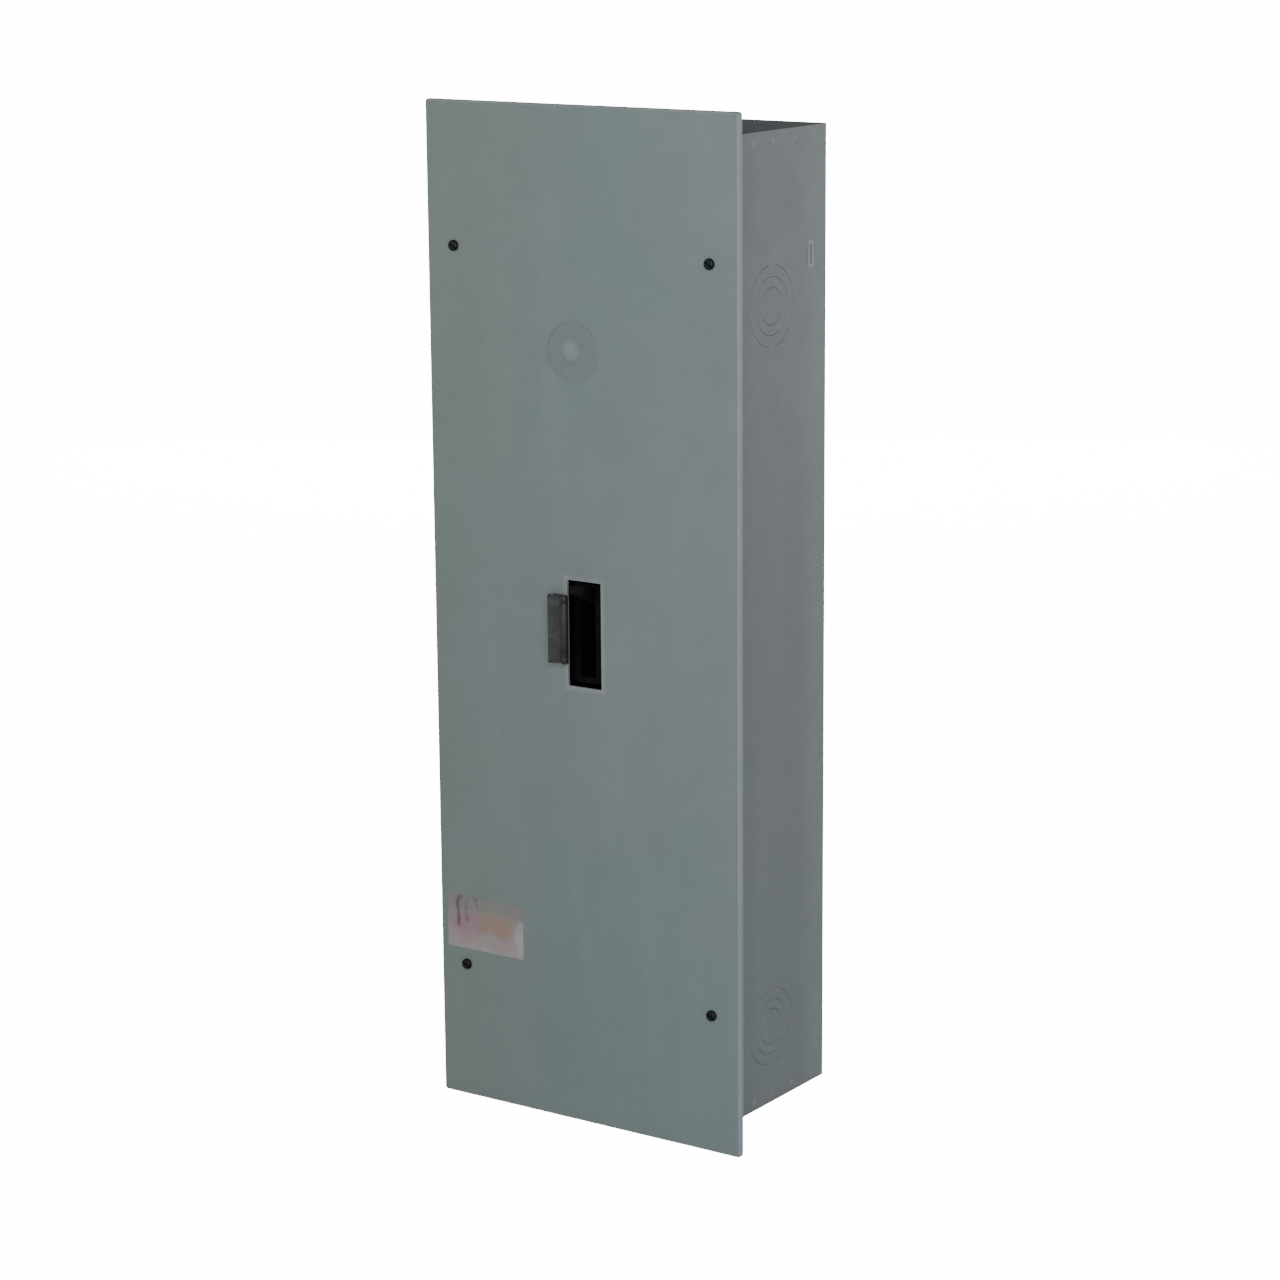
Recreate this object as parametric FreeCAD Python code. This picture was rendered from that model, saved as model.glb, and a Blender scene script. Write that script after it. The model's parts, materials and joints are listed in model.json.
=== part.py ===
import FreeCAD, Part
import math
import os

# Flush-mounted breaker enclosure: a sheet-steel box in the wall, a front cover that overhangs it
# all round, and one two-pole moulded-case main breaker whose toggle works through the cover.
# Millimetres. +Z is up and the front faces -Y. The origin is the centre of the box's outer back
# face, which is also the centre of the four wall-mounting holes.

V = FreeCAD.Vector
X_AXIS = V(1, 0, 0)
Y_AXIS = V(0, 1, 0)
Z_AXIS = V(0, 0, 1)
SIDES = (-1, 1)

# ---- driving dimensions -------------------------------------------------------------------
cover_width = 285.75
cover_height = 800.1
cover_sheet = 1.9
cover_flange_depth = 3.0       # return flange round the cover's edge
cover_bend_radius = 1.5
overhang = 19.05               # cover beyond the box on each side
box_depth = 152.4
box_sheet = 1.5
box_bend_radius = 2.5
end_bend_radius = 1.2           # upright corners of the end walls
lip_width = 14.0               # front lips that the cover screws into
sheet_gap = 0.05               # air between sheets that are only spot-welded in places

wall_hole_radius = 3.57
wall_hole_spacing_x = 152.4
wall_hole_spacing_z = 660.4

cover_screw_x = 117.475
cover_screw_z = 288.925
cover_screw_radius = 2.4
cover_screw_hole_radius = 2.45  # running clearance in the lip and its nut
cover_hole_radius = 2.9
cover_screw_reach = 13.0        # shank behind the cover's front face
nut_width = 7.6
nut_thickness = 3.5

opening_x = 1.5                 # centre of the handle opening
opening_z = -3.5
opening_width = 31.2
opening_height = 83.6

roundel_x = -8.0
roundel_z = 215.0
roundel_radius = 24.0
roundel_height = 0.5
roundel_rim = 2.4
roundel_dome_radius = 10.0
roundel_dome_height = 1.2

label_x = -98.5
label_z = -254.0
label_width = 75.0
label_height = 44.0
label_thickness = 0.2

knockout_gap = 0.4
knockout_tab_angle = 16.0
side_knockout_z = (250.0, -318.0)
side_knockout_y = -79.0
side_knockout_radii = (14.3, 22.2, 31.0)
end_knockout_x = (-72.0, 0.0, 72.0)
end_knockout_radii = (14.3, 22.2, 31.0)
nailing_slot_y = -24.0
nailing_slot_z = 284.0
nailing_slot_radius = 1.3
nailing_slot_half = 7.0         # straight part, from the slot's middle
nailing_pad_radius = 4.2
nailing_pad_height = 0.6        # raised oblong that the slot is cut in

# ---- lock-off flap beside the opening -------------------------------------------------------
hinge_x = -14.6
hinge_stand_off = 4.0           # hinge axis in front of the cover's face
hinge_pin_radius = 1.5
hinge_clearance = 0.05
flap_sheet = 1.5
flap_reach = 13.0               # hinge axis to the outer bend
flap_lip = 9.0                  # turned edge with the padlock holes
flap_bottom = -27.0
flap_top = 26.0
flap_rest_angle = 29.5          # between the folded-back flap and the cover
padlock_hole_radius = 2.8
padlock_hole_z = (-15.0, 0.0, 15.0)
bracket_end_height = 5.0
rivet_radius = 1.6
rivet_head_radius = 2.4
rivet_from_hinge = 9.0
bracket_sheet = 1.0
bracket_reach = 12.0            # hinge axis to the foot's outer edge
rivet_z = (-14.0, 14.0)

# ---- breaker ---------------------------------------------------------------------------------
pivot_z = -3.0                  # toggle pivot, also the breaker's mid-height
pivot_depth = 68.0              # toggle pivot behind the cover's front face
throw_half_angle = 25.0
tip_proud = 10.0                # toggle tip in front of the cover's face
toggle_width = 13.0
toggle_root_thickness = 8.0
toggle_tip_thickness = 7.0
toggle_hub_radius = 5.0
shield_radius = 40.0
shield_thickness = 2.0
shield_width = 16.4
shield_half_angle = 55.0
breaker_width = 84.0
breaker_height = 178.0
breaker_base_depth = 44.0
case_wall = 7.0
case_floor = 8.0
case_face = 4.0
face_behind_cover = 22.0
boss_width = 26.4
boss_height = 79.0
boss_behind_cover = 4.5
pole_offset = 19.5
cavity_half_height = 60.0
partition_half_width = 4.0      # wall between the two poles
well_start = 64.0               # terminal wells, from the pivot's height
well_half_width = 14.5
strap_width = 18.0
strap_thickness = 3.0
pin_clearance = 0.05
toggle_pin_radius = 1.5
frame_plate_inner = 9.0         # mechanism side plates, from the breaker's middle
frame_plate_outer = 10.5
frame_foot_inner = 4.5
frame_below_pivot = 20.0
frame_above_pivot = 14.0
frame_front_reach = 8.0         # plates' front edge ahead of the pivot
crossbar_radius = 4.0
crossbar_half_length = 30.0
arm_thickness = 4.0
arm_half_width = 4.0
arm_root_half = 6.0
arm_gap = 4.0                   # contact arm in front of the terminal strap
contact_tip_half = 3.5
contact_tip_height = 2.0
arc_plate_count = 6
arc_plate_pitch = 4.5
arc_plate_thickness = 1.2
arc_plate_half_width = 10.0
arc_notch_half_width = 5.5
arc_notch_top = 50.0            # from the pivot's height
arc_bottom = 39.0
arc_top = 58.0
arc_first_plate = 8.0           # in front of the terminal strap
bimetal_below_pivot = 56.0
bimetal_half_width = 5.0
bimetal_thickness = 1.2
bimetal_foot_height = 12.0

breaker_label_inner = 18.0
breaker_label_outer = 34.0
breaker_label_bottom = -20.0    # from the pivot's height
breaker_label_top = 36.0

button_from_middle = 26.0
button_below_pivot = 30.0
button_head_radius = 4.0
button_head_height = 2.5
button_head_gap = 3.0           # leaves room for the button's 2.5 mm travel
button_shank_radius = 2.0
button_retainer_radius = 3.4
trip_bar_radius = 3.0
trip_bar_behind_face = 20.0
trip_bar_below_button = 14.0
trip_lever_offset = 4.9         # lever's front face ahead of the trip bar's axis
trip_lever_gap = 0.6
trip_lever_half_width = 3.0
trip_lever_thickness = 2.0
washer_thickness = 0.4

screw_slot_turn = 33.0
breaker_screw_radius = 2.0
breaker_screw_spacing = 152.0
case_screw_radius = 1.5
case_screw_spacing = 108.0
case_screw_sink = 3.0
# Pan heads: head radius, head height, slot width.
cover_screw_head = (4.3, 2.6, 1.2)
pan_screw_head = (4.5, 2.8, 1.2)
breaker_screw_head = (3.9, 2.8, 1.1)
case_screw_head = (3.0, 2.2, 0.9)
terminal_screw_head = (3.4, 2.0, 0.9)
bonding_screw_head = (3.4, 2.2, 1.0)

pan_width = 124.0
pan_height = 236.0
pan_sheet = 2.0
pan_foot = 16.0
pan_screw_radius = 2.5
pan_screw_from_end = 20.0
breaker_thickness = 84.0        # pan to the case's face

# ---- lugs, neutral and ground ---------------------------------------------------------------
lug_width = 24.0
lug_depth = 28.0
lug_length = 20.0
lug_wire_radius = 8.5
lug_wire_height = 12.0          # wire hole's axis in front of the lug's seat
lug_screw_radius = 5.0
lug_screw_length = 12.0
lug_from_pivot = 76.5
neutral_x = -95.0
neutral_z = -40.0
neutral_seat_y = -30.0
neutral_length = 150.0
terminal_bar_depth = 11.0
terminal_bar_width = 13.0
terminal_pitch = 11.0
terminal_first = 16.0           # first hole from the bar's lower end
terminal_wire_radius = 2.6
terminal_screw_radius = 2.0
neutral_terminals = 9
neutral_stand_front_y = -8.0    # front of the stand's base plate
neutral_stand_half_width = 13.0
neutral_post_half_width = 8.0
neutral_post_half_height = 11.0
neutral_post_from_end = 30.0
ground_x = 96.0
ground_z = -190.0
ground_length = 110.0
ground_terminals = 8
strip_sheet = 1.2
strap_drop = 9.2                # bonding strap's upright part, beside the bar
strap_half_width = 4.0
bonding_screw_radius = 1.5

# ---- places worked out from them ------------------------------------------------------------
box_width = cover_width - 2 * overhang
box_height = cover_height - 2 * overhang
box_half_width = box_width / 2
box_half_height = box_height / 2
back_inner_y = -box_sheet
cover_back_y = -box_depth
cover_front_y = cover_back_y - cover_sheet
lip_back_y = -box_depth + box_sheet
face_y = cover_front_y + face_behind_cover
pivot_y = cover_front_y + pivot_depth
hinge_y = cover_front_y - hinge_stand_off
rivet_x = hinge_x - rivet_from_hinge
knuckle_radius = hinge_pin_radius + hinge_clearance + flap_sheet
pan_front_y = face_y + breaker_thickness
split_y = pan_front_y - breaker_base_depth
strap_back_y = split_y + 22.0
strap_front_y = strap_back_y - strap_thickness
cavity_floor_y = pan_front_y - case_floor
cavity_ceiling_y = face_y + case_face
cavity_half_width = breaker_width / 2 - case_wall
crossbar_y = pivot_y + 8.0
crossbar_z = pivot_z - 8.0
breaker_x = opening_x
boss_front_y = cover_front_y + boss_behind_cover
case_screw_seat_y = face_y + case_screw_sink
arm_back_y = strap_front_y - arm_gap
tip_centre_z = pivot_z + 42.0
button_x = breaker_x + button_from_middle
button_z = pivot_z - button_below_pivot
button_head_y = face_y - button_head_gap
trip_bar_y = face_y + trip_bar_behind_face
trip_bar_z = button_z - trip_bar_below_button
trip_lever_y = trip_bar_y - trip_lever_offset
main_neutral_z = neutral_z + neutral_length / 2 - 14.0
bonding_z = neutral_z - neutral_length / 2 + 5.0
bonding_screw_x = neutral_x - 20.0
# Terminal bars: x, z, seat, length, number of terminals.
neutral_row = (neutral_x, neutral_z, neutral_seat_y, neutral_length, neutral_terminals)
ground_row = (ground_x, ground_z, back_inner_y, ground_length, ground_terminals)


# ---- shape helpers ----------------------------------------------------------------------------
def block(x0, x1, y0, y1, z0, z1):
    """Box between two corners, given in any order."""
    low = V(min(x0, x1), min(y0, y1), min(z0, z1))
    return Part.makeBox(abs(x1 - x0), abs(y1 - y0), abs(z1 - z0), low)


def rod(radius, start, axis, length):
    return Part.makeCylinder(radius, length, start, axis)


def tube(outer, inner, start, axis, length):
    return rod(outer, start, axis, length).cut(rod(inner, start, axis, length))


def joined(shapes):
    whole = shapes[0]
    for shape in shapes[1:]:
        whole = whole.fuse(shape)
    return whole.removeSplitter()


def without(shape, tools):
    for tool in tools:
        shape = shape.cut(tool)
    return shape


def group(shapes):
    return Part.makeCompound(shapes)


def rounded_along(shape, direction, radius, accept=None):
    """Fillets the straight edges that run along a direction and that accept() allows."""
    edges = []
    for edge in shape.Edges:
        if edge.Curve.TypeId != "Part::GeomLine":
            continue
        if abs(abs(edge.tangentAt(edge.FirstParameter).dot(direction)) - 1) > 1e-6:
            continue
        if accept is None or accept(edge.CenterOfMass):
            edges.append(edge)
    return shape.makeFillet(radius, edges)


def prism(points, axis_vector):
    """Closed outline of points, pushed along a vector."""
    wire = Part.makePolygon(list(points) + [points[0]])
    return Part.Face(wire).extrude(axis_vector)


def pan_head_screw(place, head_size, shank_radius, shank_length):
    """Slotted pan-head screw: head seated at place, shank towards +Y."""
    head_radius, head_height, slot_width = head_size
    head = rod(head_radius, place, V(0, -1, 0), head_height)
    rim = [e for e in head.Edges if abs(e.CenterOfMass.y - (place.y - head_height)) < 1e-6]
    head = head.makeFillet(head_height * 0.6, [e for e in rim if e.Curve.TypeId == "Part::GeomCircle"])
    slot = block(place.x - head_radius * 1.2, place.x + head_radius * 1.2,
                 place.y - head_height - 1, place.y - head_height * 0.5,
                 place.z - slot_width / 2, place.z + slot_width / 2)
    slot.rotate(place, Y_AXIS, screw_slot_turn)
    shank = rod(shank_radius, place, Y_AXIS, shank_length)
    return joined([head, shank]).cut(slot)


def hex_socket(place, axis, across, depth):
    """Hexagonal prism for cutting a socket."""
    corner = across / math.sqrt(3)
    points = []
    for k in range(6):
        a = math.radians(60 * k)
        points.append(V(place.x + corner * math.cos(a), place.y, place.z + corner * math.sin(a)))
    return prism(points, axis * depth)


def broken_ring(place, axis, radius, depth, turn):
    """Narrow circular cut with two uncut tabs, as round a knockout."""
    ring = tube(radius + knockout_gap / 2, radius - knockout_gap / 2, place, axis, depth)
    tab_half = radius * math.sin(math.radians(knockout_tab_angle / 2))
    tab = Part.makeBox(2 * tab_half, 2 * radius + 4, depth + 2)
    tab.translate(V(-tab_half, -radius - 2, -1))
    tab.rotate(V(0, 0, 0), Z_AXIS, turn)
    tab.Placement = FreeCAD.Placement(place, FreeCAD.Rotation(Z_AXIS, axis)).multiply(tab.Placement)
    return ring.cut(tab)


def knockouts(place, axis, radii):
    rings = []
    for index, radius in enumerate(radii):
        rings.append(broken_ring(place, axis, radius, box_sheet + 2, 45 * index))
    return rings


# ---- sheet-steel box ---------------------------------------------------------------------------
def box_wrapper():
    """Back and both sides in one sheet, turned in at the front as lips for the cover."""
    outer = block(-box_half_width, box_half_width, 0, -box_depth, -box_half_height, box_half_height)
    outer = rounded_along(outer, Z_AXIS, box_bend_radius)
    pads = [upright_oblong(s * (box_half_width + nailing_pad_height), -s, nailing_pad_radius,
                           nailing_pad_height + box_sheet / 2) for s in SIDES]
    outer = joined([outer] + pads)
    inner_half = box_half_width - box_sheet
    inner = block(-inner_half, inner_half, back_inner_y, lip_back_y, -box_half_height, box_half_height)
    inner = rounded_along(inner, Z_AXIS, box_bend_radius - box_sheet)
    mouth_half = box_half_width - lip_width
    mouth = block(-mouth_half, mouth_half, lip_back_y + 1, -box_depth - 1, -box_half_height, box_half_height)
    cuts = [inner, mouth]
    for sx in SIDES:
        for sz in SIDES:
            wall_hole = V(sx * wall_hole_spacing_x / 2, 1, sz * wall_hole_spacing_z / 2)
            cuts.append(rod(wall_hole_radius, wall_hole, V(0, -1, 0), box_sheet + 2))
            lip_hole = V(sx * cover_screw_x, -box_depth - 1, sz * cover_screw_z)
            cuts.append(rod(cover_screw_hole_radius, lip_hole, Y_AXIS, box_sheet + 2))
        wall_start = sx * (box_half_width + 1)
        for z in side_knockout_z:
            cuts += knockouts(V(wall_start, side_knockout_y, z), V(-sx, 0, 0), side_knockout_radii)
        cuts.append(upright_oblong(wall_start, -sx, nailing_slot_radius, box_sheet + 2))
    for place in pan_screw_places():
        cuts.append(rod(pan_screw_radius, V(place.x, -box_sheet - 1, place.z), Y_AXIS, box_sheet + 2))
    bonding_hole = V(bonding_screw_x, -box_sheet - 1, bonding_z)
    cuts.append(rod(bonding_screw_radius, bonding_hole, Y_AXIS, box_sheet + 2))
    return without(outer, cuts)


def upright_oblong(x, direction, radius, depth):
    """Round-ended bar across a side wall where a nail or screw goes into the stud."""
    y, z, half = nailing_slot_y, nailing_slot_z, nailing_slot_half
    ends = [rod(radius, V(x, y, z + s * half), V(direction, 0, 0), depth) for s in SIDES]
    return joined(ends + [block(x, x + direction * depth, y - radius, y + radius, z - half, z + half)])


def box_end(top):
    """End wall with flanges against the wrapper and a front lip between the wrapper's lips."""
    s = 1 if top else -1
    half = box_half_width - box_sheet - sheet_gap
    outside = s * box_half_height
    inside = s * (box_half_height - box_sheet)
    flange_end = s * (box_half_height - lip_width)
    back = back_inner_y - sheet_gap
    lip_half = box_half_width - lip_width - sheet_gap
    wall = block(-half, half, back, lip_back_y + sheet_gap, inside, outside)
    wall = rounded_along(wall, Z_AXIS, end_bend_radius)
    shapes = [wall,
              block(-lip_half, lip_half, lip_back_y + 1, -box_depth, inside, outside),
              block(-lip_half, lip_half, lip_back_y, -box_depth, flange_end, outside),
              block(-half + 3, half - 3, back, back - box_sheet, flange_end, outside)]
    for sx in SIDES:
        shapes.append(block(sx * half, sx * (half - box_sheet), back - 4, lip_back_y + 5,
                            flange_end, outside))
    end = joined(shapes)
    cuts = []
    for x in end_knockout_x:
        cuts += knockouts(V(x, side_knockout_y, s * (box_half_height + 1)), V(0, 0, -s), end_knockout_radii)
    return without(end, cuts)


def cover_nuts():
    """Four square nuts welded behind the lips."""
    nuts = []
    half = nut_width / 2
    for sx in SIDES:
        for sz in SIDES:
            x, z = sx * cover_screw_x, sz * cover_screw_z
            nut = block(x - half, x + half, lip_back_y, lip_back_y + nut_thickness, z - half, z + half)
            bore = rod(cover_screw_hole_radius, V(x, lip_back_y - 1, z), Y_AXIS, nut_thickness + 2)
            nuts.append(nut.cut(bore))
    return group(nuts)


# ---- cover and what is on it --------------------------------------------------------------------
def front_cover():
    """Flat sheet with a rolled edge, the handle opening and a plain embossed roundel."""
    half_x, half_z = cover_width / 2, cover_height / 2
    back = cover_back_y + cover_flange_depth
    shell = block(-half_x, half_x, back, cover_front_y, -half_z, half_z)
    shell = rounded_along(shell, Y_AXIS, 2.5)
    rim = [e for e in shell.Edges if abs(e.CenterOfMass.y - cover_front_y) < 1e-6]
    shell = shell.makeFillet(cover_bend_radius, rim)
    inner_x, inner_z = half_x - cover_sheet, half_z - cover_sheet
    cuts = [block(-inner_x, inner_x, back + 1, cover_back_y, -inner_z, inner_z)]
    opening = block(opening_x - opening_width / 2, opening_x + opening_width / 2,
                    cover_front_y - 1, cover_back_y + 1,
                    opening_z - opening_height / 2, opening_z + opening_height / 2)
    cuts.append(rounded_along(opening, Y_AXIS, 1.0))
    for sx in SIDES:
        for sz in SIDES:
            cuts.append(rod(cover_hole_radius, V(sx * cover_screw_x, cover_front_y - 1, sz * cover_screw_z),
                            Y_AXIS, cover_sheet + 2))
    for z in rivet_z:
        cuts.append(rod(rivet_radius, V(rivet_x, cover_front_y - 1, z), Y_AXIS, cover_sheet + 2))
    cover = without(shell, cuts)
    middle = V(roundel_x, cover_front_y - roundel_height, roundel_z)
    depth = roundel_height + 0.5
    ring = tube(roundel_radius, roundel_radius - roundel_rim, middle, Y_AXIS, depth)
    ball_radius = (roundel_dome_radius ** 2 + roundel_dome_height ** 2) / (2 * roundel_dome_height)
    ball_y = cover_front_y - roundel_dome_height + ball_radius
    ball = Part.makeSphere(ball_radius, V(roundel_x, ball_y, roundel_z))
    dome = ball.common(block(roundel_x - roundel_dome_radius - 1, roundel_x + roundel_dome_radius + 1,
                             cover_front_y - roundel_dome_height - 1, cover_front_y + 0.05,
                             roundel_z - roundel_dome_radius - 1, roundel_z + roundel_dome_radius + 1))
    return joined([cover, ring, dome])


def cover_screws():
    """Four slotted screws through the cover into the lips."""
    screws = []
    for sx in SIDES:
        for sz in SIDES:
            place = V(sx * cover_screw_x, cover_front_y, sz * cover_screw_z)
            screws.append(pan_head_screw(place, cover_screw_head, cover_screw_radius, cover_screw_reach))
    return group(screws)


def cover_label():
    """Thin sticker near the lower left corner."""
    sticker = block(label_x - label_width / 2, label_x + label_width / 2,
                    cover_front_y, cover_front_y - label_thickness,
                    label_z - label_height / 2, label_z + label_height / 2)
    return rounded_along(sticker, Y_AXIS, 1.5)


# ---- lock-off flap -------------------------------------------------------------------------------
def flap_leaf():
    """Drawn closed over the opening, then folded back to its rest angle."""
    bore = hinge_pin_radius + hinge_clearance
    knuckle_bottom = flap_bottom + bracket_end_height + 0.3
    knuckle_top = flap_top - bracket_end_height - 0.3
    barrel = rod(knuckle_radius, V(hinge_x, hinge_y, knuckle_bottom), Z_AXIS, knuckle_top - knuckle_bottom)
    front = hinge_y - knuckle_radius
    end_x = hinge_x + flap_reach
    sheet_start = hinge_x + knuckle_radius + 0.4
    plate = block(hinge_x, end_x, front, front + flap_sheet, knuckle_bottom, knuckle_top)
    wide = block(sheet_start, end_x, front, front + flap_sheet, flap_bottom, flap_top)
    lip = block(end_x - flap_sheet, end_x, front + flap_sheet, front - flap_lip + flap_sheet,
                flap_bottom, flap_top)
    lip = rounded_along(lip, X_AXIS, 2.0, lambda c: c.y < front - flap_lip + flap_sheet + 0.1)
    leaf = joined([barrel, plate, wide, lip])
    leaf = leaf.cut(rod(bore, V(hinge_x, hinge_y, flap_bottom - 1), Z_AXIS, flap_top - flap_bottom + 2))
    for z in padlock_hole_z:
        start = V(end_x - flap_sheet - 1, front - flap_lip / 2 + flap_sheet / 2, z)
        leaf = leaf.cut(rod(padlock_hole_radius, start, X_AXIS, flap_sheet + 2))
    leaf.rotate(V(hinge_x, hinge_y, 0), Z_AXIS, -(180 - flap_rest_angle))
    return leaf


def flap_bracket():
    """Foot riveted to the cover, with a short fixed knuckle at each end of the flap's barrel."""
    shapes = [block(hinge_x - bracket_reach, hinge_x - knuckle_radius - 0.3, cover_front_y,
                    cover_front_y - bracket_sheet, flap_bottom, flap_top)]
    for z in (flap_bottom, flap_top - bracket_end_height):
        shapes.append(rod(knuckle_radius, V(hinge_x, hinge_y, z), Z_AXIS, bracket_end_height))
        shapes.append(block(hinge_x - knuckle_radius, hinge_x, cover_front_y, hinge_y,
                            z, z + bracket_end_height))
        shapes.append(block(hinge_x - bracket_reach, hinge_x, cover_front_y, cover_front_y - bracket_sheet,
                            z, z + bracket_end_height))
    foot = joined(shapes)
    bore_start = V(hinge_x, hinge_y, flap_bottom - 1)
    foot = foot.cut(rod(hinge_pin_radius, bore_start, Z_AXIS, flap_top - flap_bottom + 2))
    for z in rivet_z:
        foot = foot.cut(rod(rivet_radius, V(rivet_x, cover_front_y - 3, z), Y_AXIS, 4))
    return foot


def flap_pin():
    """Pin through the bracket knuckles and the flap barrel."""
    length = flap_top - flap_bottom + 1.6
    pin = rod(hinge_pin_radius, V(hinge_x, hinge_y, flap_bottom - 0.8), Z_AXIS, length)
    return pin.makeChamfer(0.4, [e for e in pin.Edges if e.Curve.TypeId == "Part::GeomCircle"])


def flap_rivets():
    """Two rivets that hold the bracket to the cover."""
    rivets = []
    for z in rivet_z:
        top = V(rivet_x, cover_front_y - bracket_sheet, z)
        head = rod(rivet_head_radius, top, V(0, -1, 0), 0.7)
        shank = rod(rivet_radius, top, Y_AXIS, bracket_sheet + cover_sheet)
        tail = rod(rivet_head_radius, V(rivet_x, cover_back_y, z), Y_AXIS, 1.0)
        rivets.append(joined([head, shank, tail]))
    return group(rivets)


# ---- mounting pan ---------------------------------------------------------------------------------
def mounting_pan():
    """Hat section that holds the breaker off the back wall."""
    half = pan_width / 2
    low, high = pivot_z - pan_height / 2, pivot_z + pan_height / 2
    x = breaker_x
    shapes = [block(x - half, x + half, pan_front_y, pan_front_y + pan_sheet, low, high)]
    for s in SIDES:
        shapes.append(block(x + s * half, x + s * (half - pan_sheet), pan_front_y, back_inner_y, low, high))
        shapes.append(block(x + s * (half - pan_sheet), x + s * (half + pan_foot), back_inner_y,
                            back_inner_y - pan_sheet, low, high))
    pan = joined(shapes)
    pan = rounded_along(pan, Z_AXIS, 1.5, lambda c: abs(c.y - pan_front_y) < 0.1)
    cuts = []
    for place in pan_screw_places():
        cuts.append(rod(pan_screw_radius, V(place.x, place.y - 1, place.z), Y_AXIS, pan_sheet + 2))
    for place in breaker_screw_places():
        cuts.append(rod(breaker_screw_radius, V(place.x, pan_front_y - 1, place.z), Y_AXIS, pan_sheet + 2))
    return without(pan, cuts)


def pan_screw_places():
    places = []
    for sx in SIDES:
        for sz in SIDES:
            places.append(V(breaker_x + sx * (pan_width / 2 + pan_foot / 2), back_inner_y - pan_sheet,
                            pivot_z + sz * (pan_height / 2 - pan_screw_from_end)))
    return places


def pan_screws():
    """Four screws through the pan feet into the back wall."""
    length = pan_sheet + box_sheet
    return group([pan_head_screw(p, pan_screw_head, pan_screw_radius, length) for p in pan_screw_places()])


# ---- breaker case -----------------------------------------------------------------------------------
def breaker_screw_places():
    return [V(breaker_x, split_y, pivot_z + s * breaker_screw_spacing / 2) for s in SIDES]


def case_screw_places():
    places = []
    for sx in SIDES:
        for sz in SIDES:
            places.append(V(breaker_x + sx * (breaker_width / 2 - case_wall / 2), case_screw_seat_y,
                            pivot_z + sz * case_screw_spacing / 2))
    return places


def terminal_wells(y0, y1):
    """Open-ended recesses, one for each pole's lug at each end of the case."""
    wells = []
    for sx in SIDES:
        for sz in SIDES:
            x = breaker_x + sx * pole_offset
            wells.append(block(x - well_half_width, x + well_half_width, y0, y1,
                               pivot_z + sz * well_start, pivot_z + sz * (breaker_height / 2 + 1)))
    return wells


def breaker_base():
    """Lower half: pole cavities, terminal wells and slots for the straps."""
    half_x, half_z = breaker_width / 2, breaker_height / 2
    x = breaker_x
    body = block(x - half_x, x + half_x, pan_front_y, split_y, pivot_z - half_z, pivot_z + half_z)
    body = rounded_along(body, Y_AXIS, 3.0)
    cuts = terminal_wells(strap_back_y, split_y - 1)
    for s in SIDES:
        cuts.append(block(x + s * partition_half_width, x + s * cavity_half_width,
                          cavity_floor_y, split_y - 1,
                          pivot_z - cavity_half_height, pivot_z + cavity_half_height))
        for sz in SIDES:
            pole = x + s * pole_offset
            cuts.append(block(pole - strap_width / 2, pole + strap_width / 2, strap_back_y, strap_front_y,
                              pivot_z + sz * (cavity_half_height - 1), pivot_z + sz * (well_start + 1)))
    # The partition between the poles is notched for the toggle's hub and the crossbar.
    cuts.append(block(x - 5, x + 5, crossbar_y + 7, split_y - 1, pivot_z - 15, pivot_z + 10))
    for place in breaker_screw_places():
        start = V(place.x, split_y - 1, place.z)
        cuts.append(rod(breaker_screw_radius, start, Y_AXIS, breaker_base_depth + 2))
    for place in case_screw_places():
        cuts.append(rod(case_screw_radius, V(place.x, split_y - 1, place.z), Y_AXIS, 17))
    return without(body, cuts)


def breaker_case():
    """Upper half with the boss that stands in the cover's opening."""
    half_x, half_z = breaker_width / 2, breaker_height / 2
    x = breaker_x
    body = block(x - half_x, x + half_x, split_y, face_y, pivot_z - half_z, pivot_z + half_z)
    body = rounded_along(body, Y_AXIS, 3.0)
    boss = block(x - boss_width / 2, x + boss_width / 2, face_y + 1, boss_front_y,
                 opening_z - boss_height / 2, opening_z + boss_height / 2)
    boss = rounded_along(boss, Y_AXIS, 2.0)
    boss_rim = [e for e in boss.Edges if abs(e.CenterOfMass.y - boss_front_y) < 1e-6]
    boss = boss.makeFillet(1.0, boss_rim)
    cuts = terminal_wells(split_y + 1, face_y - 1)
    cuts.append(block(x - cavity_half_width, x + cavity_half_width, split_y + 1, cavity_ceiling_y,
                      pivot_z - cavity_half_height, pivot_z + cavity_half_height))
    reach = (boss_front_y - pivot_y) * -math.tan(math.radians(throw_half_angle))
    slot_half = reach + toggle_tip_thickness / 2 / math.cos(math.radians(throw_half_angle)) + 0.9
    slot_half_width = toggle_width / 2 + 0.8
    cuts.append(block(x - slot_half_width, x + slot_half_width, cavity_ceiling_y + 1, boss_front_y - 1,
                      pivot_z - slot_half, pivot_z + slot_half))
    for place in breaker_screw_places():
        cuts.append(rod(breaker_screw_head[0] + 0.3, V(place.x, split_y + 1, place.z), V(0, -1, 0), 60))
    for place in case_screw_places():
        cuts.append(rod(case_screw_radius, V(place.x, split_y + 1, place.z), V(0, -1, 0), 60))
        cuts.append(rod(case_screw_head[0] + 0.1, place, V(0, -1, 0), 10))
    cuts.append(rod(button_shank_radius + pin_clearance, V(button_x, cavity_ceiling_y + 1, button_z),
                    V(0, -1, 0), 10))
    cuts.append(rod(trip_bar_radius + pin_clearance, V(x - half_x + 3, trip_bar_y, trip_bar_z),
                    X_AXIS, breaker_width - 6))
    return without(joined([body, boss]), cuts)


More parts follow.
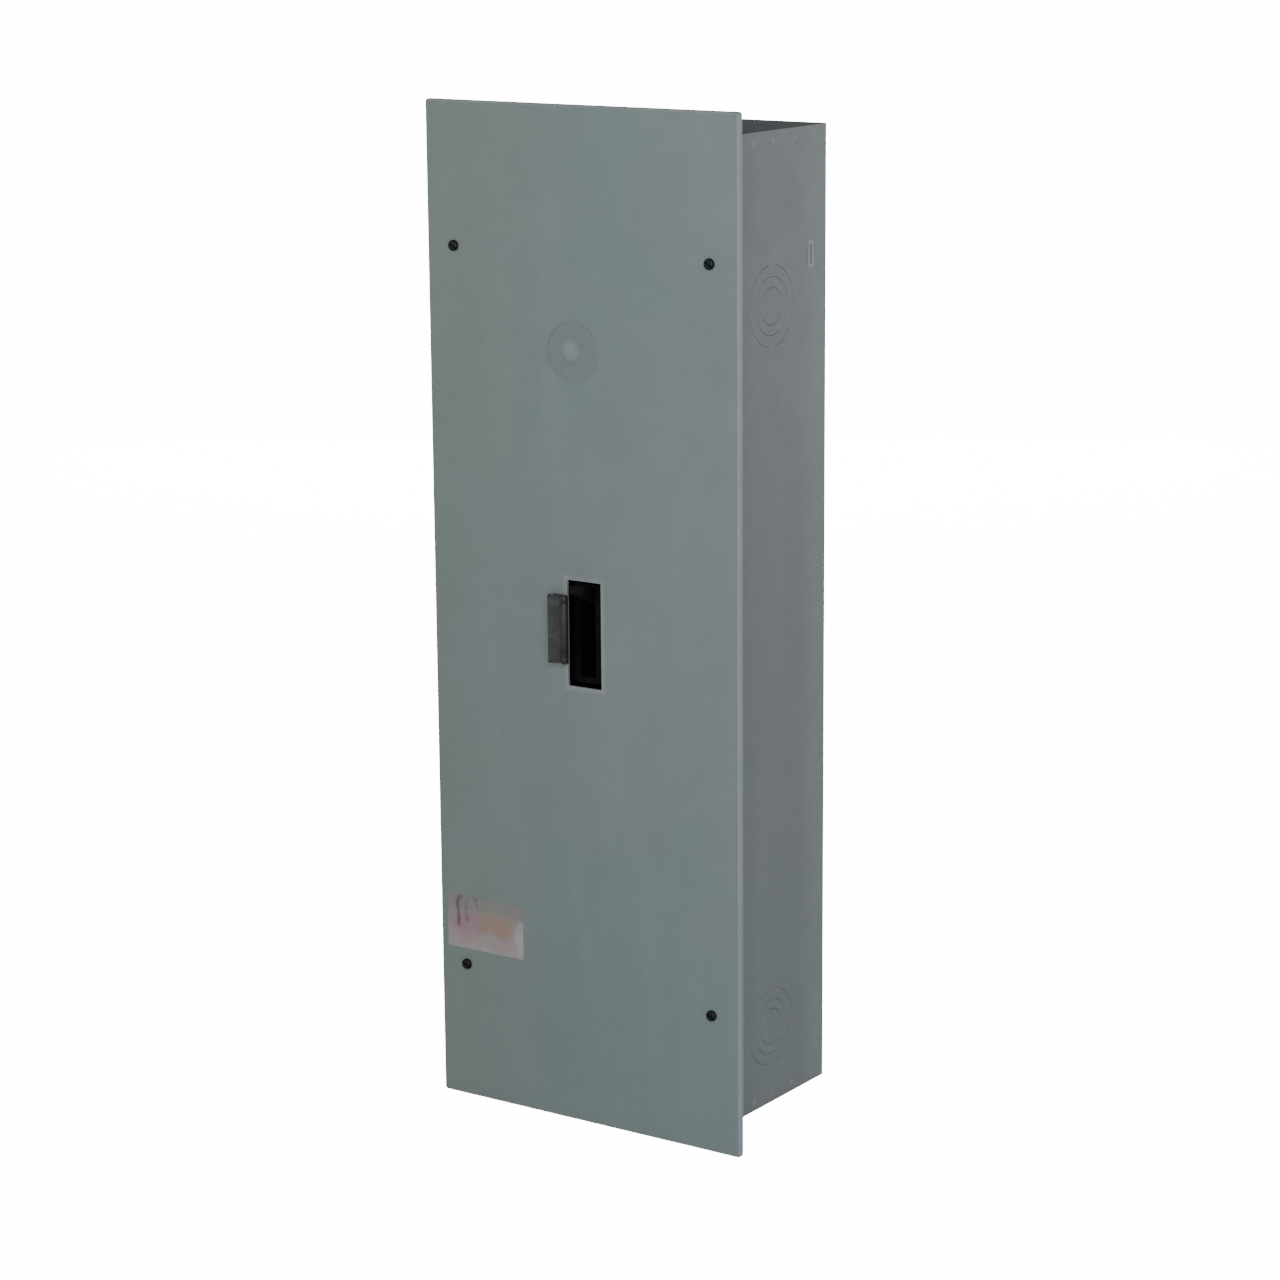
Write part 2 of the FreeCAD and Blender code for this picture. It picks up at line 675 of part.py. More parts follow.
def breaker_case_screws():
    """Four sunk screws that hold the case halves together."""
    reach = split_y + 14 - case_screw_seat_y
    return group([pan_head_screw(p, case_screw_head, case_screw_radius, reach) for p in case_screw_places()])


def breaker_mounting_screws():
    """Two long screws through the base into the pan."""
    reach = pan_front_y + pan_sheet + 2 - split_y
    places = breaker_screw_places()
    return group([pan_head_screw(p, breaker_screw_head, breaker_screw_radius, reach) for p in places])


def breaker_label():
    """Blank rating plate on the case face, above the trip button."""
    x = breaker_x
    inner, outer = x + breaker_label_inner, x + breaker_label_outer
    plate = block(inner, outer, face_y, face_y - label_thickness,
                  pivot_z + breaker_label_bottom, pivot_z + breaker_label_top)
    return rounded_along(plate, Y_AXIS, 1.0)


# ---- toggle and contacts -----------------------------------------------------------------------------
def toggle_handle():
    """Drawn straight out along -Y, then turned up to its closed-circuit rest position."""
    x0, x1 = breaker_x - toggle_width / 2, breaker_x + toggle_width / 2
    tip_radius = (pivot_depth + tip_proud) / math.cos(math.radians(throw_half_angle))
    root, tip = toggle_root_thickness / 2, toggle_tip_thickness / 2
    outline = [V(x0, pivot_y, pivot_z - root), V(x0, pivot_y - tip_radius, pivot_z - tip),
               V(x0, pivot_y - tip_radius, pivot_z + tip), V(x0, pivot_y, pivot_z + root)]
    lever = prism(outline, V(toggle_width, 0, 0))
    lever = rounded_along(lever, X_AXIS, 1.6, lambda c: c.y < pivot_y - tip_radius + 0.1)
    grooves = []
    for k in range(3):
        y = pivot_y - tip_radius + 3.0 + 2.2 * k
        for s in SIDES:
            grooves.append(rod(0.45, V(x0 - 1, y, pivot_z + s * (tip + 0.25)), X_AXIS, toggle_width + 2))
    lever = without(lever, grooves)
    hub = rod(toggle_hub_radius, V(x0, pivot_y, pivot_z), X_AXIS, toggle_width)
    start = V(breaker_x - shield_width / 2, pivot_y, pivot_z)
    shield = tube(shield_radius, shield_radius - shield_thickness, start, X_AXIS, shield_width)
    a = math.radians(shield_half_angle)
    far = 2 * shield_radius
    wedge = prism([V(start.x, pivot_y, pivot_z),
                   V(start.x, pivot_y - far * math.cos(a), pivot_z - far * math.sin(a)),
                   V(start.x, pivot_y - far * math.cos(a), pivot_z + far * math.sin(a))],
                  V(shield_width, 0, 0))
    handle = joined([lever, hub, shield.common(wedge)])
    bore_start = V(x0 - 1, pivot_y, pivot_z)
    handle = handle.cut(rod(toggle_pin_radius + pin_clearance, bore_start, X_AXIS, toggle_width + 2))
    handle.rotate(V(breaker_x, pivot_y, pivot_z), X_AXIS, -throw_half_angle)
    return handle


def toggle_pin():
    """Pivot pin between the mechanism side plates."""
    start = V(breaker_x - frame_plate_outer, pivot_y, pivot_z)
    return rod(toggle_pin_radius, start, X_AXIS, 2 * frame_plate_outer)


def mechanism_frame():
    """Two side plates that carry the toggle pin and the crossbar."""
    plates = []
    for s in SIDES:
        inner, outer = breaker_x + s * frame_plate_inner, breaker_x + s * frame_plate_outer
        low, high = pivot_z - frame_below_pivot, pivot_z + frame_above_pivot
        plate = block(inner, outer, cavity_floor_y, pivot_y - frame_front_reach, low, high)
        plate = rounded_along(plate, X_AXIS, 4.0, lambda c: c.y < pivot_y)
        foot = block(breaker_x + s * frame_foot_inner, outer, cavity_floor_y,
                     cavity_floor_y - (frame_plate_outer - frame_plate_inner), low, high)
        plate = joined([plate, foot])
        start = min(inner, outer) - 1
        plate = plate.cut(rod(toggle_pin_radius, V(start, pivot_y, pivot_z), X_AXIS, 4))
        crossbar_hole = rod(crossbar_radius + pin_clearance, V(start, crossbar_y, crossbar_z), X_AXIS, 4)
        plates.append(plate.cut(crossbar_hole))
    return group(plates)


def contact_crossbar():
    """Insulated shaft that carries both contact arms."""
    start = V(breaker_x - crossbar_half_length, crossbar_y, crossbar_z)
    return rod(crossbar_radius, start, X_AXIS, 2 * crossbar_half_length)


def contact_arm(s):
    """Arm of one pole: a boss round the crossbar and a flat blade."""
    x = breaker_x + s * pole_offset
    half = arm_root_half
    root = block(x - arm_half_width - 1, x + arm_half_width + 1, crossbar_y + half, crossbar_y - half,
                 crossbar_z - half, crossbar_z + half)
    root = rounded_along(root, X_AXIS, half / 2)
    blade = block(x - arm_half_width, x + arm_half_width, arm_back_y, arm_back_y - arm_thickness,
                  crossbar_z, tip_centre_z + arm_half_width)
    arm = joined([root, blade])
    return arm.cut(rod(crossbar_radius, V(x - half, crossbar_y, crossbar_z), X_AXIS, 2 * half))


def contact_tips(moving):
    """Silver pads, either on the arms or on the line straps."""
    tips = []
    near = arm_back_y if moving else strap_front_y
    far = strap_front_y - contact_tip_height
    half = contact_tip_half
    for s in SIDES:
        x = breaker_x + s * pole_offset
        tips.append(block(x - half, x + half, near, far, tip_centre_z - half, tip_centre_z + half))
    return group(tips)


def line_terminal(s):
    """Upper copper strap from the fixed contact to the line lug."""
    x = breaker_x + s * pole_offset
    return block(x - strap_width / 2, x + strap_width / 2, strap_back_y, strap_front_y,
                 tip_centre_z - 6, pivot_z + breaker_height / 2 - 2)


def load_terminal(s):
    """Lower copper strap from the trip unit to the load lug."""
    x = breaker_x + s * pole_offset
    return block(x - strap_width / 2, x + strap_width / 2, strap_back_y, strap_front_y,
                 pivot_z - breaker_height / 2 + 2, pivot_z - 30)


def bimetal(s):
    """Thin level strip, standing out from the load strap, that bends up when it is hot."""
    x = breaker_x + s * pole_offset
    z = pivot_z - bimetal_below_pivot
    x0, x1 = x - bimetal_half_width, x + bimetal_half_width
    strip = block(x0, x1, strap_front_y, trip_bar_y - 2, z, z + bimetal_thickness)
    foot = block(x0, x1, strap_front_y, strap_front_y - bimetal_thickness, z, z + bimetal_foot_height)
    return joined([strip, foot])


def arc_chute(s):
    """Stack of notched steel plates between two fibre sides."""
    x = breaker_x + s * pole_offset
    bottom, top = pivot_z + arc_bottom, pivot_z + arc_top
    half, notch = arc_plate_half_width, arc_notch_half_width
    shapes = []
    for k in range(arc_plate_count):
        y = strap_front_y - arc_first_plate - arc_plate_pitch * k
        plate = block(x - half, x + half, y, y - arc_plate_thickness, bottom, top)
        shapes.append(plate.cut(block(x - notch, x + notch, y + 1, y - 3, bottom - 1,
                                      pivot_z + arc_notch_top)))
    side_back = strap_front_y - arc_first_plate + 3
    side_front = side_back - arc_plate_pitch * (arc_plate_count + 1)
    for sx in SIDES:
        shapes.append(block(x + sx * half, x + sx * (half + 1), side_back, side_front, bottom, top))
    return group(shapes)


# ---- trip button and bar --------------------------------------------------------------------------------
def trip_button():
    """Round push button with a shank that a retainer keeps in the case."""
    head = rod(button_head_radius, V(button_x, button_head_y, button_z), V(0, -1, 0), button_head_height)
    rim = [e for e in head.Edges if abs(e.CenterOfMass.y - (button_head_y - button_head_height)) < 1e-6
           and e.Curve.TypeId == "Part::GeomCircle"]
    head = head.makeFillet(0.8, rim)
    shank_length = trip_lever_y - trip_lever_gap - button_head_y
    shank = rod(button_shank_radius, V(button_x, button_head_y, button_z), Y_AXIS, shank_length)
    retainer = rod(button_retainer_radius, V(button_x, cavity_ceiling_y, button_z), Y_AXIS, 1.2)
    return joined([head, shank, retainer])


def trip_spring():
    """Wave washer under the button's head, drawn flat."""
    return tube(button_head_radius - 0.6, button_shank_radius + 0.4, V(button_x, button_head_y, button_z),
                Y_AXIS, washer_thickness)


def trip_bar():
    """Shaft with the lever that the button pushes."""
    half = breaker_width / 2 - 3.5
    bar = rod(trip_bar_radius, V(breaker_x - half, trip_bar_y, trip_bar_z), X_AXIS, 2 * half)
    x0, x1 = button_x - trip_lever_half_width, button_x + trip_lever_half_width
    lever = block(x0, x1, trip_lever_y, trip_lever_y + trip_lever_thickness, trip_bar_z, button_z + 3)
    root = block(x0, x1, trip_bar_y, trip_lever_y, trip_bar_z - 2, trip_bar_z + 2)
    return joined([bar, root, lever])


# ---- lugs, neutral and ground ----------------------------------------------------------------------------
def wire_lug(x, seat_y, z):
    """Aluminium block with a wire hole along Z and a screw hole from the front."""
    lug = block(x - lug_width / 2, x + lug_width / 2, seat_y, seat_y - lug_depth,
                z - lug_length / 2, z + lug_length / 2)
    lug = rounded_along(lug, Z_AXIS, 2.0, lambda c: c.y < seat_y - lug_depth + 0.1)
    wire_y = seat_y - lug_wire_height
    lug = lug.cut(rod(lug_wire_radius, V(x, wire_y, z - lug_length), Z_AXIS, 2 * lug_length))
    return lug.cut(rod(lug_screw_radius, V(x, wire_y, z), V(0, -1, 0), lug_depth))


def lug_screw(x, seat_y, z):
    """Hexagon-socket set screw, run part of the way in."""
    start = V(x, seat_y - 19, z)
    screw = rod(lug_screw_radius, start, V(0, -1, 0), lug_screw_length)
    return screw.cut(hex_socket(V(x, start.y - lug_screw_length - 1, z), Y_AXIS, 5.0, 6.0))


def breaker_lug(sx, sz):
    return wire_lug(breaker_x + sx * pole_offset, strap_front_y, pivot_z + sz * lug_from_pivot)


def lug_screws():
    """Set screws of the four breaker lugs and the neutral lug."""
    screws = []
    for sx in SIDES:
        for sz in SIDES:
            z = pivot_z + sz * lug_from_pivot
            screws.append(lug_screw(breaker_x + sx * pole_offset, strap_front_y, z))
    screws.append(lug_screw(neutral_x, neutral_seat_y - terminal_bar_depth, main_neutral_z))
    return group(screws)


def terminal_bar(x, z, seat_y, length, count):
    """Rectangular bar with a row of wire holes from the side and screw holes from the front."""
    half = terminal_bar_width / 2
    bar = block(x - half, x + half, seat_y, seat_y - terminal_bar_depth, z - length / 2, z + length / 2)
    cuts = []
    for k in range(count):
        hole_z = z - length / 2 + terminal_first + terminal_pitch * k
        cuts.append(rod(terminal_wire_radius, V(x - half - 1, seat_y - 4.5, hole_z), X_AXIS, 2 * half + 2))
        cuts.append(rod(terminal_screw_radius, V(x, seat_y - 4.5, hole_z), V(0, -1, 0), terminal_bar_depth))
    return without(bar, cuts)


def terminal_screws(x, z, seat_y, length, count):
    """One small screw for each wire hole, standing a little proud of the bar."""
    screws = []
    for k in range(count):
        hole_z = z - length / 2 + terminal_first + terminal_pitch * k
        place = V(x, seat_y - terminal_bar_depth - 1.5, hole_z)
        screws.append(pan_head_screw(place, terminal_screw_head, terminal_screw_radius, 5.0))
    return group(screws)


def neutral_insulator():
    """Moulded stand that keeps the neutral bar off the box."""
    half = neutral_length / 2 + 8
    front, wide, narrow = neutral_stand_front_y, neutral_stand_half_width, neutral_post_half_width
    shapes = [block(neutral_x - wide, neutral_x + wide, back_inner_y, front,
                    neutral_z - half, neutral_z + half)]
    for s in SIDES:
        z = neutral_z + s * (neutral_length / 2 - neutral_post_from_end)
        shapes.append(block(neutral_x - narrow, neutral_x + narrow, front, neutral_seat_y,
                            z - neutral_post_half_height, z + neutral_post_half_height))
    return joined(shapes)


def bonding_strap():
    """Copper strip from the neutral bar to the box's back wall."""
    low, high = bonding_z - strap_half_width, bonding_z + strap_half_width
    drop_x = neutral_x - terminal_bar_width / 2 - strap_drop
    step_x = drop_x + strip_sheet
    strap = joined([block(neutral_x + 4, drop_x, neutral_seat_y, neutral_seat_y + strip_sheet, low, high),
                    block(drop_x, step_x, neutral_seat_y, back_inner_y, low, high),
                    block(step_x, bonding_screw_x - 4, back_inner_y - strip_sheet, back_inner_y, low, high)])
    return strap.cut(rod(bonding_screw_radius, V(bonding_screw_x, back_inner_y - 2, bonding_z), Y_AXIS, 4))


def bonding_screw():
    """Screw that ties the strap to the back wall."""
    place = V(bonding_screw_x, back_inner_y - strip_sheet, bonding_z)
    return pan_head_screw(place, bonding_screw_head, bonding_screw_radius, strip_sheet + box_sheet)


def save(name, shape):
    shape.exportStep("parts/" + name + ".step")
    print(name, shape.isValid(), len(shape.Solids), round(shape.Volume, 1))


os.makedirs("parts", exist_ok=True)

save("box_wrapper", box_wrapper())
save("box_top_end", box_end(True))
save("box_bottom_end", box_end(False))
save("cover_nuts", cover_nuts())
save("front_cover", front_cover())
save("cover_screws", cover_screws())
save("cover_label", cover_label())
save("flap_bracket", flap_bracket())
save("flap_pin", flap_pin())
save("flap_rivets", flap_rivets())
save("flap_leaf", flap_leaf())
save("mounting_pan", mounting_pan())
save("pan_screws", pan_screws())
save("breaker_base", breaker_base())
save("breaker_case", breaker_case())
save("breaker_case_screws", breaker_case_screws())
save("breaker_mounting_screws", breaker_mounting_screws())
save("breaker_label", breaker_label())
save("toggle_handle", toggle_handle())
save("toggle_pin", toggle_pin())
save("mechanism_frame", mechanism_frame())
save("contact_crossbar", contact_crossbar())
save("fixed_contacts", contact_tips(False))
save("moving_contacts", contact_tips(True))
for number, side in enumerate(SIDES, 1):
    save("contact_arm_%d" % number, contact_arm(side))
    save("line_terminal_%d" % number, line_terminal(side))
    save("load_terminal_%d" % number, load_terminal(side))
    save("bimetal_%d" % number, bimetal(side))
    save("arc_chute_%d" % number, arc_chute(side))
    save("line_lug_%d" % number, breaker_lug(side, 1))
    save("load_lug_%d" % number, breaker_lug(side, -1))
save("lug_screws", lug_screws())
save("trip_button", trip_button())
save("trip_spring", trip_spring())
save("trip_bar", trip_bar())
save("neutral_insulator", neutral_insulator())
save("neutral_bar", terminal_bar(*neutral_row))
save("neutral_screws", terminal_screws(*neutral_row))
save("neutral_lug", wire_lug(neutral_x, neutral_seat_y - terminal_bar_depth, main_neutral_z))
save("bonding_strap", bonding_strap())
save("bonding_screw", bonding_screw())
save("ground_bar", terminal_bar(*ground_row))
save("ground_screws", terminal_screws(*ground_row))
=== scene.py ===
import json
import math
import random

import bmesh
import bpy
from mathutils import Matrix, Vector


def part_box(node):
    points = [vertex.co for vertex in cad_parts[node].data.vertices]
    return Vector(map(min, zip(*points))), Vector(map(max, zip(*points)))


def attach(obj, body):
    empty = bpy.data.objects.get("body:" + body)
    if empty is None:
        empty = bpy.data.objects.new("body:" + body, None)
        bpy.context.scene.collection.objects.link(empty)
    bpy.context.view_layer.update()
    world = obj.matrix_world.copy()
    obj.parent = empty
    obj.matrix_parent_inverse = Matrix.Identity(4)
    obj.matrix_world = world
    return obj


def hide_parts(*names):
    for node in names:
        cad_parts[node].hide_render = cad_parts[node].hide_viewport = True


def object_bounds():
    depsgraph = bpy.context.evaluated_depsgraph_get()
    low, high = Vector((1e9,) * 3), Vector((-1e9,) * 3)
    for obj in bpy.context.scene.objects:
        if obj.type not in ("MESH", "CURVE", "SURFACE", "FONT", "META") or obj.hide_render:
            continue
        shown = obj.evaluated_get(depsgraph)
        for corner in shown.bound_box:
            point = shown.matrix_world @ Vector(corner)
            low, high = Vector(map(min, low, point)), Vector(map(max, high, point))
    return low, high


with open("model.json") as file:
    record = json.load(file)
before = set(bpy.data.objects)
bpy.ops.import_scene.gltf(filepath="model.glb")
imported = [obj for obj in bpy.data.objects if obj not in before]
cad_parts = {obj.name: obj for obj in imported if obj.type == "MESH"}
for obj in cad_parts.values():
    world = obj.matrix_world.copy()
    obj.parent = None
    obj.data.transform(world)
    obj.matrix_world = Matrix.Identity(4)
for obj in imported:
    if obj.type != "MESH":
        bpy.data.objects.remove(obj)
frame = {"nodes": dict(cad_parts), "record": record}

# Looks of the flush-mounted breaker enclosure: materials, small mesh detail, light and camera.
# Metres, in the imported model's frame: +Z up, the cover faces -Y. Colours are linear.

CAD_LOW, CAD_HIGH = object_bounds()
COVER_LOW, COVER_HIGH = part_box("front_cover")
BOX_LOW, BOX_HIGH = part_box("box_wrapper")
LABEL_LOW, LABEL_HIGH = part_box("cover_label")
FLAP_LOW, FLAP_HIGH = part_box("flap_leaf")
NODES = frame["nodes"]
RECORD = frame["record"]

MM = 0.001
COVER_HEIGHT = COVER_HIGH.z - COVER_LOW.z
FACE_Y = LABEL_HIGH.y       # the cover's flat face, which the label lies on

random.seed(7)


# ---- places read from the frame's meshes ---------------------------------------------------------
OPENING_BESIDE = 12 * MM    # how far beside the toggle the opening's edges are looked for
OPENING_REACH = 60 * MM     # and how far above and below the middle of the box
RAISED = 0.1 * MM           # what stands out of its wall by more than this is a feature


def handle_opening():
    """Lower left and upper right corners, in X and Z, of the cover's opening round the toggle."""
    low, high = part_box("toggle_handle")
    near = [v.co for v in NODES["front_cover"].data.vertices
            if low.x - OPENING_BESIDE < v.co.x < high.x + OPENING_BESIDE
            and abs(v.co.z) < OPENING_REACH]
    return ((min(v.x for v in near), min(v.z for v in near)),
            (max(v.x for v in near), max(v.z for v in near)))


def wall_faces():
    """X of the box's flat side walls, read at its lower end, clear of the raised nailing pads."""
    edge = [v.co.x for v in NODES["box_wrapper"].data.vertices if v.co.z < BOX_LOW.z + MM]
    return min(edge), max(edge)


def corners_beyond(node, axis, limit):
    """Lowest and highest corners of what lies farther from the origin than a limit on one axis."""
    outwards = 1 if limit > 0 else -1
    points = [v.co for v in NODES[node].data.vertices if (v.co[axis] - limit) * outwards > 0]
    return (Vector([min(p[k] for p in points) for k in range(3)]),
            Vector([max(p[k] for p in points) for k in range(3)]))


OPENING = handle_opening()
WALL_LEFT, WALL_RIGHT = wall_faces()
PAD = corners_beyond("box_wrapper", 0, WALL_RIGHT + RAISED)
ROUNDEL = corners_beyond("front_cover", 1, FACE_Y - RAISED)


# ---- colours, and bands over which one fades into another ----------------------------------------
COVER_GREY = (0.170, 0.206, 0.206, 1.0)
COVER_GREEN = (0.158, 0.202, 0.196, 1.0)
COVER_BLUE = (0.178, 0.206, 0.214, 1.0)
PAINTED_LIGHT_LEFT = (0.965, 0.985, 0.94, 1.0)       # the cover's greys are multiplied by these: painted light, dimmer and greener at the left, brighter and bluer at the right
PAINTED_LIGHT_RIGHT = (1.055, 1.04, 1.12, 1.0)
# Painted highlight along the cover's fold.
FOLD_HIGHLIGHT = (0.265, 0.29, 0.31, 1.0)
FOLD_HIGHLIGHT_BAND = (-2.0 * MM, -0.7 * MM)          # past the cover's outline: none, then painted highlight
# Lighter ring round the cover's opening.
OPENING_LIGHTER = (0.262, 0.27, 0.27, 1.0)
OPENING_BAND = (1.0 * MM, 5.5 * MM)         # past the opening's: lighter, then plain
ROUNDEL_SHADE_BAND = (-1.0 * MM, 1.5 * MM)        # past the roundel's: painted shade, then none
ROUNDEL_HIGHLIGHT_SPREAD = (0.15, 0.42)                # shares of its radius: painted highlight, then none

BOX_GREY = (0.160, 0.182, 0.190, 1.0)
BOX_GREEN = (0.156, 0.180, 0.182, 1.0)
BOX_BLUE = (0.166, 0.184, 0.198, 1.0)
BACK_LIGHT_BAND = (-48 * MM, -8 * MM)             # past the box's back: none, then painted light
PAD_HIGHLIGHT_BAND = (-1.5 * MM, 0.8 * MM)            # past a nailing pad's outline: painted highlight, then none

FLAP_SHADE_BAND = (-4.5 * MM, -1.0 * MM)          # past the flap's outline: none, then painted shade
DUST = (0.2, 0.2, 0.195, 1.0)
SCREW_PITCH = 0.8 * MM
THREAD_DEPTH = 0.14 * MM
THREAD_RUN_IN = 0.3 * MM

LABEL_PAPER = (0.345, 0.318, 0.316, 1.0)
LABEL_PAPER_DARK = (0.29, 0.268, 0.266, 1.0)
LABEL_BLEACHED = (0.208, 0.202, 0.194, 1.0)
LABEL_ROSE = (0.29, 0.195, 0.222, 1.0)
LABEL_BLUSH = (0.33, 0.25, 0.252, 1.0)
LABEL_ORANGE = (0.315, 0.2, 0.15, 1.0)
LABEL_TAN = (0.26, 0.212, 0.176, 1.0)
LABEL_STREAK = (0.115, 0.062, 0.088, 1.0)
LABEL_BAR = (0.38, 0.362, 0.34, 1.0)
# Left, right, bottom and top of each block, as fractions of the label; edge softness; strength; ink.
LABEL_BLOCKS = (
    (0.03, 0.87, 0.1, 0.55, 0.05, 0.85, LABEL_BLUSH),
    (0.03, 0.5, 0.3, 0.72, 0.09, 0.95, LABEL_ROSE),
    (0.4, 0.88, 0.32, 0.8, 0.07, 0.85, LABEL_TAN),
    (0.5, 0.82, 0.38, 0.7, 0.06, 0.95, LABEL_ORANGE),
    (0.12, 0.17, 0.42, 0.98, 0.02, 0.85, LABEL_STREAK),
    (0.245, 0.275, 0.5, 0.98, 0.02, 0.55, LABEL_STREAK),
    (0.92, 1.02, -0.05, 0.7, 0.02, 0.9, LABEL_BAR),
)
BREAKER_PAPER = (0.56, 0.56, 0.54, 1.0)
BREAKER_PAPER_DARK = (0.42, 0.42, 0.4, 1.0)

EDGE_TURN = (0.02, 0.25)    # how far a normal has turned where an edge begins to show, and is full


def shade(colour, factor):
    """A colour made lighter or darker."""
    return (colour[0] * factor, colour[1] * factor, colour[2] * factor, 1.0)


# ---- node helpers --------------------------------------------------------------------------------
class Nodes:
    """Short calls that build one node tree. A value is a number, a colour or another node's socket."""

    def __init__(self, tree):
        self.tree = tree

    def add(self, kind, **settings):
        node = self.tree.nodes.new(kind)
        for key, value in settings.items():
            setattr(node, key, value)
        return node

    def feed(self, socket, value):
        """Links or sets an input, whichever the value calls for."""
        if isinstance(value, bpy.types.NodeSocket):
            self.tree.links.new(value, socket)
        else:
            socket.default_value = value

    def span(self, value, low, high, to_low=0.0, to_high=1.0, smooth=False):
        """Maps low..high to to_low..to_high, and stays at the nearer end outside low..high."""
        node = self.add("ShaderNodeMapRange", clamp=True)
        node.interpolation_type = "SMOOTHSTEP" if smooth else "LINEAR"
        self.feed(node.inputs["Value"], value)
        self.feed(node.inputs["From Min"], low)
        self.feed(node.inputs["From Max"], high)
        self.feed(node.inputs["To Min"], to_low)
        self.feed(node.inputs["To Max"], to_high)
        return node.outputs["Result"]

    def maths(self, operation, first, second=0.0):
        node = self.add("ShaderNodeMath", operation=operation)
        self.feed(node.inputs[0], first)
        self.feed(node.inputs[1], second)
        return node.outputs[0]

    def times(self, first, second):
        return self.maths("MULTIPLY", first, second)


class Surface(Nodes):
    """One procedural material under construction, laid out in object coordinates."""

    def __init__(self, name, metallic=0.0, specular=0.5):
        self.material = bpy.data.materials.new(name)
        self.material.use_nodes = True
        super().__init__(self.material.node_tree)
        self.shader = self.tree.nodes["Principled BSDF"]
        self.shader.inputs["Metallic"].default_value = metallic
        self.shader.inputs["Specular IOR Level"].default_value = specular
        self.place = self.add("ShaderNodeTexCoord").outputs["Object"]

    def stretched(self, scale):
        """Object coordinates scaled by axis, for grain and streaks."""
        node = self.add("ShaderNodeMapping")
        self.feed(node.inputs["Vector"], self.place)
        node.inputs["Scale"].default_value = scale
        return node.outputs["Vector"]

    def noise(self, scale, detail=3.0, roughness=0.55, distortion=0.0, stretch=None):
        """Fractal noise round 0.5; scale is its coarsest pattern, in cycles per metre."""
        node = self.add("ShaderNodeTexNoise")
        self.feed(node.inputs["Vector"], self.stretched(stretch) if stretch else self.place)
        node.inputs["Scale"].default_value = scale
        node.inputs["Detail"].default_value = detail
        node.inputs["Roughness"].default_value = roughness
        node.inputs["Distortion"].default_value = distortion
        return node.outputs["Fac"]

    def patches(self, scale, cut, to=(0.0, 1.0), **texture):
        """Noise with its values between two cuts spread over the range given."""
        return self.span(self.noise(scale, **texture), *cut, *to)

    def cells(self, scale):
        """Distance from the nearest of many scattered points, in cells; scale is in cells per metre."""
        node = self.add("ShaderNodeTexVoronoi")
        self.feed(node.inputs["Vector"], self.place)
        node.inputs["Scale"].default_value = scale
        return node.outputs["Distance"]

    def blend(self, factor, first, second, mode="MIX"):
        """The first colour, with the second laid over it by the factor."""
        node = self.add("ShaderNodeMix", data_type="RGBA", blend_type=mode)
        self.feed(node.inputs["Factor"], factor)
        self.feed(node.inputs["A"], first)
        self.feed(node.inputs["B"], second)
        return node.outputs["Result"]

    def axis(self, name):
        node = self.add("ShaderNodeSeparateXYZ")
        self.feed(node.inputs[0], self.place)
        return node.outputs[name]

    def past_rectangle(self, across, low, high):
        """Distance in metres outside an upright rectangle, negative inside it.

        across names the rectangle's level axis; low and high are its corners, on that axis and Z.
        """
        sides = []
        for name, near, far in zip((across, "Z"), low, high):
            off_centre = self.maths("ABSOLUTE", self.maths("SUBTRACT", self.axis(name), (near + far) / 2))
            sides.append(self.maths("SUBTRACT", off_centre, (far - near) / 2))
        return self.maths("MAXIMUM", *sides)

    def from_point(self, x, z):
        """Distance in metres from a point on the cover's face, with the depth left out."""
        flat = self.add("ShaderNodeVectorMath", operation="MULTIPLY")
        self.feed(flat.inputs[0], self.place)
        flat.inputs[1].default_value = (1.0, 0.0, 1.0)
        distance = self.add("ShaderNodeVectorMath", operation="DISTANCE")
        self.feed(distance.inputs[0], flat.outputs["Vector"])
        distance.inputs[1].default_value = (x, 0.0, z)
        return distance.outputs["Value"]

    def between(self, value, low, high, soft):
        """1 where a value lies between two limits, with a soft edge."""
        return self.times(self.span(value, low - soft, low + soft),
                          self.span(value, high - soft, high + soft, 1.0, 0.0))

    def edges(self, radius):
        """1 along convex and concave edges, from the difference between round and flat normals."""
        bevel = self.add("ShaderNodeBevel", samples=4)
        bevel.inputs["Radius"].default_value = radius
        flat = self.add("ShaderNodeNewGeometry").outputs["Normal"]
        product = self.add("ShaderNodeVectorMath", operation="DOT_PRODUCT")
        self.feed(product.inputs[0], bevel.outputs["Normal"])
        self.feed(product.inputs[1], flat)
        turned = self.maths("SUBTRACT", 1.0, product.outputs["Value"])
        return self.span(turned, *EDGE_TURN)

    def bump(self, height, distance, strength, normal=None):
        """A normal roughened by a height map, over another one where that is given."""
        node = self.add("ShaderNodeBump")
        node.inputs["Strength"].default_value = strength
        node.inputs["Distance"].default_value = distance
        self.feed(node.inputs["Height"], height)
        if normal is not None:
            self.feed(node.inputs["Normal"], normal)
        return node.outputs["Normal"]

    def finish(self, colour, roughness, normal):
        self.feed(self.shader.inputs["Base Color"], colour)
        self.feed(self.shader.inputs["Roughness"], roughness)
        self.feed(self.shader.inputs["Normal"], normal)
        return self.material


